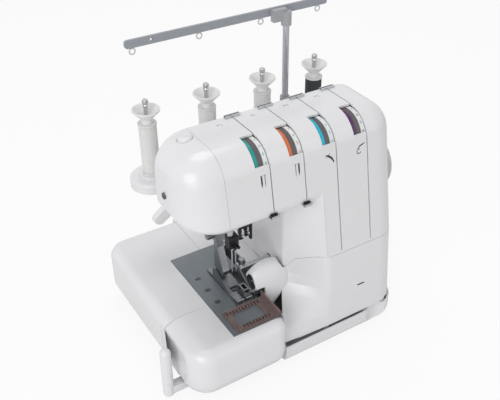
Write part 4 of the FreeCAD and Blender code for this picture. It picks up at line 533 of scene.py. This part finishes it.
for i, x in enumerate(SLOTS):
    left = x - DIAL_W - DIAL_SET
    paint = finish("dial_colour_%d" % (i + 1), DIAL_COLOURS[i], 0.26, mottle=0.08)
    body = "tension_dial_%d" % (i + 1)
    wheel = turned("dial", dial_outline(paint), spot(left, DIAL_Y, DIAL_Z), X_AXIS,
                   [paint, grip, scale_white], DIAL_SEGMENTS)
    grip_x = left + COLOUR_BAND + GRIP_BAND / 2 - RIDGE_SHIFT
    ridges = grow("ridges", RIDGES, count=RIDGE_COUNT, radius=(DIAL_R - GRIP_DROP) * MM,
                  ridge=in_metres(RIDGE_RISE, RIDGE_W, GRIP_BAND - RIDGE_SHORT), turn=ALONG_X,
                  place=spot(grip_x, DIAL_Y, DIAL_Z), material=grip)
    scale_x = left + (DIAL_W + COLOUR_BAND + GRIP_BAND) / 2
    numerals = [wrapped_text(str(n), scale_x, REST_ANGLE + (REST_NUMERAL - n) * SCALE_STEP, paint)
                for n in range(SCALE_COUNT)]
    piece = add_piece("dial_dress_%d" % (i + 1), merge("dial_dress", [wheel, ridges] + numerals), body)
    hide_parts(body)
print("dials:", len(SLOTS), "with numerals 0 to", SCALE_COUNT - 1)

# %% [markdown]
# ## Sills of the dial windows
# A thin white sill closes the lower end of each window, so that only the upper front of the dial
# shows. A plain cube would stand out of the leaning panel, so the slab leans with it. It lies
# flush in the panel, in front of the dial's rim.

# %% Window sills
SEAM_Z = 124.0
PANEL_LEAN = 0.18
SILL_LOW, SILL_HIGH = 242.4, 254.8
SILL_LEFT, SILL_RIGHT = -17.0, -0.7
SILL_FRONT, SILL_BACK = 0.02, 1.7
SLAB_FACES = ((0, 1, 2, 3), (7, 6, 5, 4), (0, 4, 5, 1), (1, 5, 6, 2), (2, 6, 7, 3), (3, 7, 4, 0))


def panel_y(z):
    """Where the leaning front panel is at a height."""
    return (z - SEAM_Z) * PANEL_LEAN


def leaning_slab(name, first, last, low, high, thick):
    """A closed slab that leans with the panel; its ends are given as x and as depth behind the panel."""
    shape = bmesh.new()
    corners = []
    for inwards in (0, thick):
        for (x, depth), z in ((first, low), (last, low), (last, high), (first, high)):
            corners.append(shape.verts.new(spot(x, panel_y(z) + depth + inwards, z)))
    for ring in SLAB_FACES:
        shape.faces.new([corners[i] for i in ring])
    return sealed(name, shape, white)


sill_meshes = []
for x in SLOTS:
    ends = (x + SILL_LEFT, SILL_FRONT), (x + SILL_RIGHT, SILL_FRONT)
    sill_meshes.append(leaning_slab("sill", *ends, SILL_LOW, SILL_HIGH, SILL_BACK - SILL_FRONT))
sills = add_piece("dial_sills", merge("dial_sills", sill_meshes), "machine_body")
print("sills:", len(sills.data.polygons), "faces")

# %% [markdown]
# ## Corner under the head
# The column's slanted inner wall runs on upwards behind the head's rounded lower edge, so that
# no gap shows in the corner. This short length of wall is one more leaning slab, in line with it.

# %% Throat corner
WALL_LOW, WALL_HIGH, WALL_T = 191.0, 203.0, 2.0
WALL_END, WALL_START = (44.0, 16.6), (61.8, 0.1)
corner = leaning_slab("throat_corner", WALL_END, WALL_START, WALL_LOW, WALL_HIGH, WALL_T)
add_piece("throat_corner", corner, "machine_body")
print("corner:", len(corner.polygons), "faces")

# %% [markdown]
# ## Thread on the spools
# A full spool is a pack of thread with fine turns on its surface. Winding all of the thread would
# take far too many faces, so a turned pack fills the core, and one spiral of fine thread with a
# hundred turns lies on it. The pack swells a little in the middle, as wound thread does.

# %% Wound thread
SPOOL_FIRST, SPOOL_PITCH = -67.0, 73.8
SPOOLS = [SPOOL_FIRST + SPOOL_PITCH * i for i in range(4)]
SPOOL_Y = 165.0
PACK_LOW, PACK_HIGH = 196.2, 253.8
PACK_R, CORE_R = 9.55, 8.05
PACK_SEGMENTS, SWELL_STEPS, SWELL = 48, 12, 0.12
THREAD_R, THREAD_LIFT = 0.28, 0.22
THREAD_TURNS, STEPS_PER_TURN = 100, 24
white_thread = finish("white_thread", (0.86, 0.86, 0.85), 0.75, mottle=0.12, scale=400, stretch=(1, 1, 6),
                      bump=0.3)
grey_thread = finish("grey_thread", (0.055, 0.06, 0.065), 0.75, mottle=0.3, scale=400, stretch=(1, 1, 6),
                     bump=0.3)


def wound_pack(x, look):
    """The thread on one spool: its pack and the fine turns laid on it."""
    height = PACK_HIGH - PACK_LOW
    outline = [(0, CORE_R, look), (0, PACK_R, look)]
    for k in range(1, SWELL_STEPS):
        swell = SWELL * math.sin(math.pi * k / SWELL_STEPS)
        outline.append((height * k / SWELL_STEPS, PACK_R + swell, look))
    outline += [(height, PACK_R, look), (height, CORE_R, look)]
    pack = turned("pack", outline, spot(x, SPOOL_Y, PACK_LOW), Z_AXIS, [look], PACK_SEGMENTS)
    turns = grow("turns", WINDING, turns=THREAD_TURNS, radius=(PACK_R + THREAD_LIFT) * MM,
                 height=(height - 2 * THREAD_R) * MM, thread=THREAD_R * MM, steps=STEPS_PER_TURN,
                 place=spot(x, SPOOL_Y, PACK_LOW + THREAD_R), material=look)
    return merge("wound", [pack, turns])


white_packs = merge("packs", [wound_pack(x, white_thread) for x in SPOOLS[:3]])
whites = add_piece("white_thread_packs", white_packs, "machine_body")
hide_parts("white_thread_windings")
greys = add_piece("grey_thread_pack", wound_pack(SPOOLS[3], grey_thread), "machine_body")
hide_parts("grey_thread_winding")
print("thread packs:", len(whites.data.polygons) + len(greys.data.polygons), "faces")

# %% [markdown]
# ## Knobs and cups
# Each spool pin ends in a small plated knob with a waist, which keeps the cap from flying off.
# The thread then enters the head through small white dishes, one before each clip. Both are
# turned from a short outline, because spheres and cones joined together would show seams.

# %% Pin knobs
SMALL_SEGMENTS = 32
KNOB_LOW = 275.0
KNOB = ((0, 2.45), (0, 2.9), (0.6, 3.3), (2.2, 3.3), (2.8, 2.8), (3.8, 2.7), (4.4, 3.2), (6.6, 3.5),
        (8.2, 3.1), (8.9, 2.2), (8.9, 1.0))


def small_turned(name, outline, place, look):
    """A small turned piece in one finish, standing upright."""
    return turned(name, [(a, r, look) for a, r in outline], place, Z_AXIS, [look], SMALL_SEGMENTS)


knob_meshes = [small_turned("knob", KNOB, spot(x, SPOOL_Y, KNOB_LOW), bright) for x in SPOOLS]
knobs = add_piece("pin_knobs", merge("pin_knobs", knob_meshes), "machine_body")
print("knobs:", len(knob_meshes))

# %% Thread cups
CUP_Y, CUP_LOW = 87.0, 271.4
CUP = ((0, 0.7), (0, 3.1), (2.2, 3.1), (2.2, 2.8), (1.2, 0.7))
cup_meshes = [small_turned("cup", CUP, spot(x - SLOT_PITCH / 2, CUP_Y, CUP_LOW), white) for x in SLOTS]
cups = add_piece("thread_cups", merge("thread_cups", cup_meshes), "machine_body")
print("cups:", len(cup_meshes))

# %% [markdown]
# ## Marks on the seam gauge
# The gauge carries two rows of red-brown ticks, one before and one behind its window. Printed
# marks could be a pattern in the material, but thin bars stay sharp and come along in the export.

# %% Gauge ticks
GAUGE_RISE, GAUGE_T = 10.0, 1.5
TICK_STEP = 3.9
TICK_W, TICK_L, TICK_T = 1.5, 4.4, 0.1
TICK_ROWS = ((-47, -1.2, 9), (-54, 23.7, 11))
TICK_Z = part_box("seam_gauge")[1][2] / MM - GAUGE_RISE + GAUGE_T + TICK_T / 2
mark_brown = finish("mark_brown", (0.03, 0.004, 0.004), 0.7, mottle=0.1)
rows = [grow("ticks", ROW, count=count, start=spot(x, y, TICK_Z), step=in_metres(TICK_STEP, 0, 0),
             bar=in_metres(TICK_W, TICK_L, TICK_T), material=mark_brown) for x, y, count in TICK_ROWS]
ticks = add_piece("gauge_ticks", merge("gauge_ticks", rows), "seam_gauge")
print("ticks:", sum(count for x, y, count in TICK_ROWS))

# %% [markdown]
# ## Small fittings
# A black thread guide hangs under the head beside the needles, and two more catch the thread where
# the short slots end. A thin black block in the looper cover is painted shade: it stands for the shade
# inside the cover's finger scoop. The guides are small bent or moulded bits. Each could be a swept
# curve, but at their size blocks look much the same. The edges of all these blocks are cut back in a
# small square step, which a bevel gives when its profile is left at its default.

# %% Blocks with stepped edges
STEP_SHARE, STEP_SEGMENTS = 0.18, 2


def block(name, corner, size, look):
    """A small block with stepped edges: its low corner and its size are given in drawn millimetres."""
    shape = bmesh.new()
    bmesh.ops.create_cube(shape, size=1)
    middle = spot(*[c + s / 2 for c, s in zip(corner, size)])
    for vertex in shape.verts:
        vertex.co = middle + Vector([v * s * MM for v, s in zip(vertex.co, size)])
    step = min(size) * STEP_SHARE * MM
    bmesh.ops.bevel(shape, geom=shape.edges[:], offset=step, segments=STEP_SEGMENTS, affect="EDGES")
    return sealed(name, shape, look)


def cluster(place, bits):
    """Blocks round a place: each bit has its offset from the place, its size and its finish."""
    return [block("hook", [p + o for p, o in zip(place, offset)], size, look) for offset, size, look in bits]


print("blocks: edges cut back by", STEP_SHARE, "of the thinnest side")

# %% Thread guides of the head
HEAD_UNDER = 192.0
GUIDE_Y, GUIDE_LOW = 34.0, 178.0
HOOK_T = 2.6
GUIDE_AT, GUIDE_SIZE = (-30, GUIDE_Y, GUIDE_LOW), (14, 6, HEAD_UNDER - GUIDE_LOW)
FINGER_AT, FINGER_SIZE = (-17, GUIDE_Y, 161), (HOOK_T, 4, 22)
WIRES_AT = ((-31, GUIDE_Y, 166), (-24, GUIDE_Y, 168))
WIRE_BITS = (((0, -1, 0), (HOOK_T, HOOK_T, 16), black), ((0, -1, 0), (5.5, HOOK_T, HOOK_T), black),
             ((3.2, -1, 0), (HOOK_T, HOOK_T, 5), bright), ((1, 2, 5), (4, 3, 6), black))
SLOT_END_Z = 198.5
CATCH_BITS = (((-5, -1.6, 0), (8, 3, 2.4), black), ((1, -1.2, -1.4), (5, 2, 1.6), black))
hooks = [block("hook", GUIDE_AT, GUIDE_SIZE, black), block("hook", FINGER_AT, FINGER_SIZE, black)]
for place in WIRES_AT:
    hooks += cluster(place, WIRE_BITS)
for x in SLOTS[:2]:
    hooks += cluster((x, panel_y(SLOT_END_Z), SLOT_END_Z), CATCH_BITS)
guides = add_piece("head_guides", merge("head_guides", hooks), "machine_body")
print("guide blocks:", len(hooks))

# %% Painted shade in the looper cover's finger scoop
PULL_X, PULL_Z, PULL_LEAN = 104.0, 69.0, 0.104
PULL_SIZE, PULL_OUT = (10, 1.2, 2), 0.1
PULL_AT = (PULL_X, (PULL_Z - SEAM_Z) * PULL_LEAN - PULL_OUT, PULL_Z)
# This black block is painted shade: it stands for the shade inside the finger scoop of the cover.
pull = block("pull_mark", PULL_AT, PULL_SIZE, black_plastic)
add_piece("pull_mark", pull, "looper_cover")
print("painted scoop shade:", len(pull.polygons), "faces")

# %% [markdown]
# ## Knurls
# Two thumb screws are knurled: one holds the upper knife, the other the foot's clamp. A bump in
# the material would leave their outline smooth, so the ridge tree sets real ridges round them.

# %% Knurls of the thumb screws
KNURL_RIDGE = in_metres(0.5, 0.45, 6.4)
UPRIGHT = (0, 0, 0)
KNIFE_SCREW_AT, KNIFE_SCREW_R, KNIFE_RIDGES = (-7.5, 70, 102), 3.6, 24
CLAMP_SCREW_AT, CLAMP_SCREW_R, CLAMP_RIDGES = (-41.2, 82, 145), 4, 26
knife_knurl = grow("knurl", RIDGES, count=KNIFE_RIDGES, radius=KNIFE_SCREW_R * MM, ridge=KNURL_RIDGE,
                   turn=UPRIGHT, place=spot(*KNIFE_SCREW_AT), material=foot_steel)
add_piece("knife_knurl", knife_knurl, "upper_knife")
clamp_knurl = grow("knurl", RIDGES, count=CLAMP_RIDGES, radius=CLAMP_SCREW_R * MM, ridge=KNURL_RIDGE,
                   turn=ALONG_X, place=spot(*CLAMP_SCREW_AT), material=foot_steel)
add_piece("clamp_knurl", clamp_knurl, "presser_bar")
print("knurl ridges:", KNIFE_RIDGES + CLAMP_RIDGES)

# %% [markdown]
# ## Signs under the dials
# Small signs on the front tell which thread each dial is for: two needles on the first two,
# and a looper on the others. Letters of a font would not give these shapes, so each sign is a
# few strokes of changing width, as thin inlays on the leaning panel.

# %% Strokes on the panel
LEAN = math.atan(PANEL_LEAN)
SIGN_Z = 239.0
SIGN_HALF_T = 0.06
sign_ink = finish("sign_ink", (0.025, 0.03, 0.035), 0.5, mottle=0.2)


def on_panel(x, up, lift):
    """A point on the front panel: up is measured along the panel from the signs' height."""
    z = SIGN_Z + up * math.cos(LEAN)
    return spot(x, panel_y(z) - lift * math.cos(LEAN), z + lift * math.sin(LEAN))


def stroke(middle, path):
    """A flat stroke in the panel, as a closed thin slab: each path point is across, up and width."""
    left, right = [], []
    for i, (across, up, width) in enumerate(path):
        ahead = path[min(i + 1, len(path) - 1)]
        behind = path[max(i - 1, 0)]
        run = Vector((ahead[0] - behind[0], ahead[1] - behind[1])).normalized() * (width / 2)
        left.append((middle + across - run.y, up + run.x))
        right.append((middle + across + run.y, up - run.x))
    ring = left + right[::-1]
    shape = bmesh.new()
    top = [shape.verts.new(on_panel(x, up, SIGN_HALF_T)) for x, up in ring]
    low = [shape.verts.new(on_panel(x, up, -SIGN_HALF_T)) for x, up in ring]
    count = len(ring)
    for i in range(len(path) - 1):
        shape.faces.new((top[i], top[i + 1], top[count - 2 - i], top[count - 1 - i]))
        shape.faces.new((low[count - 1 - i], low[count - 2 - i], low[i + 1], low[i]))
    for i in range(count):
        shape.faces.new((top[i], low[i], low[(i + 1) % count], top[(i + 1) % count]))
    return sealed("stroke", shape, sign_ink)


print("panel leans", round(math.degrees(LEAN), 1), "degrees")

# %% Needle and looper paths
NEEDLE_APART, NEEDLE_BOLD, NEEDLE_THIN, NEEDLE_POINT = 2, 1.9, 0.7, 0.3
NEEDLE_TOP, NEEDLE_TAPER, NEEDLE_TIP = 6, -2, -6.5
BAR_HALF, BAR_UP, BAR_W = 1.4, 6.6, 0.5
BLADE = ((-5.5, 5, 0.5), (-2, 3.6, 2.2), (2, 0.4, 2.4), (4.6, -3.6, 1.6), (4.8, -6, 0.4))
SECOND_LINE = ((-5, 2, 0.4), (-1, 4.4, 0.7), (1, 6, 0.3))
CURL_R, CURL_UP, CURL_W = 2.6, -3, 0.9
CURL_TURNS = [math.radians(60 + 40 * k) for k in range(8)]
CURL = [(CURL_R * (math.cos(t) - 1), CURL_UP + CURL_R * math.sin(t), CURL_W) for t in CURL_TURNS]
CURL_TAIL = ((-4, 0.2, 0.8), (-1, 3, 1.6), (3, 4, 1.3), (6, 5, 0.4))


def needle_paths(bold):
    """Two upright needles, the one in use drawn bold, each under a short bar."""
    paths = []
    for side in (-1, 1):
        width = NEEDLE_BOLD if side == bold else NEEDLE_THIN
        at = side * NEEDLE_APART
        paths.append(((at, NEEDLE_TOP, width), (at, NEEDLE_TAPER, width), (at, NEEDLE_TIP, NEEDLE_POINT)))
        paths.append(((at - BAR_HALF, BAR_UP, BAR_W), (at + BAR_HALF, BAR_UP, BAR_W)))
    return paths


print("sign paths: blade", len(BLADE), "points, curl", len(CURL), "points")

# %% Panel signs
SIGN_LEFT = 9
SIGNS = (needle_paths(-1), needle_paths(1), (BLADE, SECOND_LINE), (CURL, CURL_TAIL))
signs = [stroke(x - SIGN_LEFT, path) for x, paths in zip(SLOTS, SIGNS) for path in paths]
sign_piece = add_piece("panel_signs", merge("panel_signs", signs), "machine_body")
print("signs:", len(signs), "strokes")

# %% [markdown]
# ## Floor, light and camera
# The floor is pale and keeps the machine's soft shadow. More light would also turn it white, but
# would burn out the housing, so the camera alone sees the floor as mostly glowing. Lamps are
# large, so highlights on the glossy white stay broad. The camera looks from the front left and
# from above, so that the dials, the foot and the spools all show.

# %% Floor
FLOOR_HALF = 4.0
FLOOR_GREY = (0.9, 0.9, 0.9, 1)
FLOOR_GLOW = 0.88


def make_floor():
    """A wide floor: matt for the machine's light, mostly glowing for the camera."""
    mesh = bpy.data.meshes.new("floor")
    corners = [(x * FLOOR_HALF, y * FLOOR_HALF, 0) for x, y in ((-1, -1), (1, -1), (1, 1), (-1, 1))]
    mesh.from_pydata(corners, [], [(0, 1, 2, 3)])
    floor = bpy.data.objects.new("floor", mesh)
    bpy.context.scene.collection.objects.link(floor)
    material = bpy.data.materials.new("floor_paper")
    material.use_nodes = True
    tree = material.node_tree
    tree.nodes.clear()
    out, mix = tree.nodes.new("ShaderNodeOutputMaterial"), tree.nodes.new("ShaderNodeMixShader")
    matt, glow = tree.nodes.new("ShaderNodeBsdfDiffuse"), tree.nodes.new("ShaderNodeEmission")
    matt.inputs["Color"].default_value = FLOOR_GREY
    path, part = tree.nodes.new("ShaderNodeLightPath"), tree.nodes.new("ShaderNodeMath")
    part.operation = "MULTIPLY"
    part.inputs[1].default_value = FLOOR_GLOW
    tree.links.new(path.outputs["Is Camera Ray"], part.inputs[0])
    tree.links.new(part.outputs[0], mix.inputs["Fac"])
    tree.links.new(matt.outputs[0], mix.inputs[1])
    tree.links.new(glow.outputs[0], mix.inputs[2])
    tree.links.new(mix.outputs[0], out.inputs["Surface"])
    mesh.materials.append(material)


make_floor()
print("floor:", 2 * FLOOR_HALF, "m wide")

# %% World and lamps
WORLD_LEVEL = 0.5
WORLD_WHITE = (1, 1, 1, 1)
LAMPS = (("key", (-1.4, -0.8, 1.1), (0, 0, 0.15), 1.1, 8.0),
         ("low", (-1.2, -1.0, 0.4), (0, 0, 0.12), 0.9, 2.7),
         ("fill", (0.9, -1.3, 0.9), (0, 0, 0.15), 1.2, 2.0),
         ("top", (0.1, 0.5, 1.6), (0, 0, 0.15), 1.0, 6))


def make_world():
    """A white world that lights the machine less than the camera and reflections show it."""
    world = bpy.data.worlds.new("studio")
    bpy.context.scene.world = world
    world.use_nodes = True
    tree = world.node_tree
    tree.nodes.clear()
    out, back = tree.nodes.new("ShaderNodeOutputWorld"), tree.nodes.new("ShaderNodeBackground")
    path = tree.nodes.new("ShaderNodeLightPath")
    seen, most = tree.nodes.new("ShaderNodeMath"), tree.nodes.new("ShaderNodeMath")
    seen.operation = most.operation = "MAXIMUM"
    level = tree.nodes.new("ShaderNodeMapRange")
    level.inputs["To Min"].default_value = WORLD_LEVEL
    tree.links.new(path.outputs["Is Camera Ray"], seen.inputs[0])
    tree.links.new(path.outputs["Is Glossy Ray"], seen.inputs[1])
    tree.links.new(seen.outputs[0], most.inputs[0])
    tree.links.new(path.outputs["Is Transmission Ray"], most.inputs[1])
    tree.links.new(most.outputs[0], level.inputs["Value"])
    tree.links.new(level.outputs["Result"], back.inputs["Strength"])
    back.inputs["Color"].default_value = WORLD_WHITE
    tree.links.new(back.outputs[0], out.inputs["Surface"])


def add_lamp(name, place, aim, size, watts):
    """A round area lamp at a place, turned towards its aim."""
    lamp = bpy.data.lights.new(name, "AREA")
    lamp.shape = "DISK"
    lamp.size = size
    lamp.energy = watts
    holder = bpy.data.objects.new(name, lamp)
    bpy.context.scene.collection.objects.link(holder)
    holder.location = place
    holder.rotation_euler = (Vector(aim) - Vector(place)).to_track_quat("-Z", "Y").to_euler()


make_world()
for lamp in LAMPS:
    add_lamp(*lamp)
print("lamps:", len(LAMPS))

# %% Camera
CAMERA_AT = (-0.3626, -0.5983, 0.64335)
AZIMUTH, ELEVATION = math.radians(32.3), math.radians(34.61)
SENSOR_W, LENS = 36.0, 53.44
SHIFT_X = -0.024
CLIP_START = 0.01
camera = bpy.data.objects.new("camera", bpy.data.cameras.new("camera"))
bpy.context.scene.collection.objects.link(camera)
camera.data.sensor_width = SENSOR_W
camera.data.lens = LENS
camera.data.shift_x = SHIFT_X
camera.data.clip_start = CLIP_START
level_run = math.cos(ELEVATION)
look_along = Vector((math.sin(AZIMUTH) * level_run, math.cos(AZIMUTH) * level_run, -math.sin(ELEVATION)))
camera.location = CAMERA_AT
camera.rotation_euler = look_along.to_track_quat("-Z", "Y").to_euler()
bpy.context.scene.camera = camera
bpy.context.scene.view_settings.view_transform = "Standard"
print("camera:", round(camera.data.lens, 2), "mm lens")
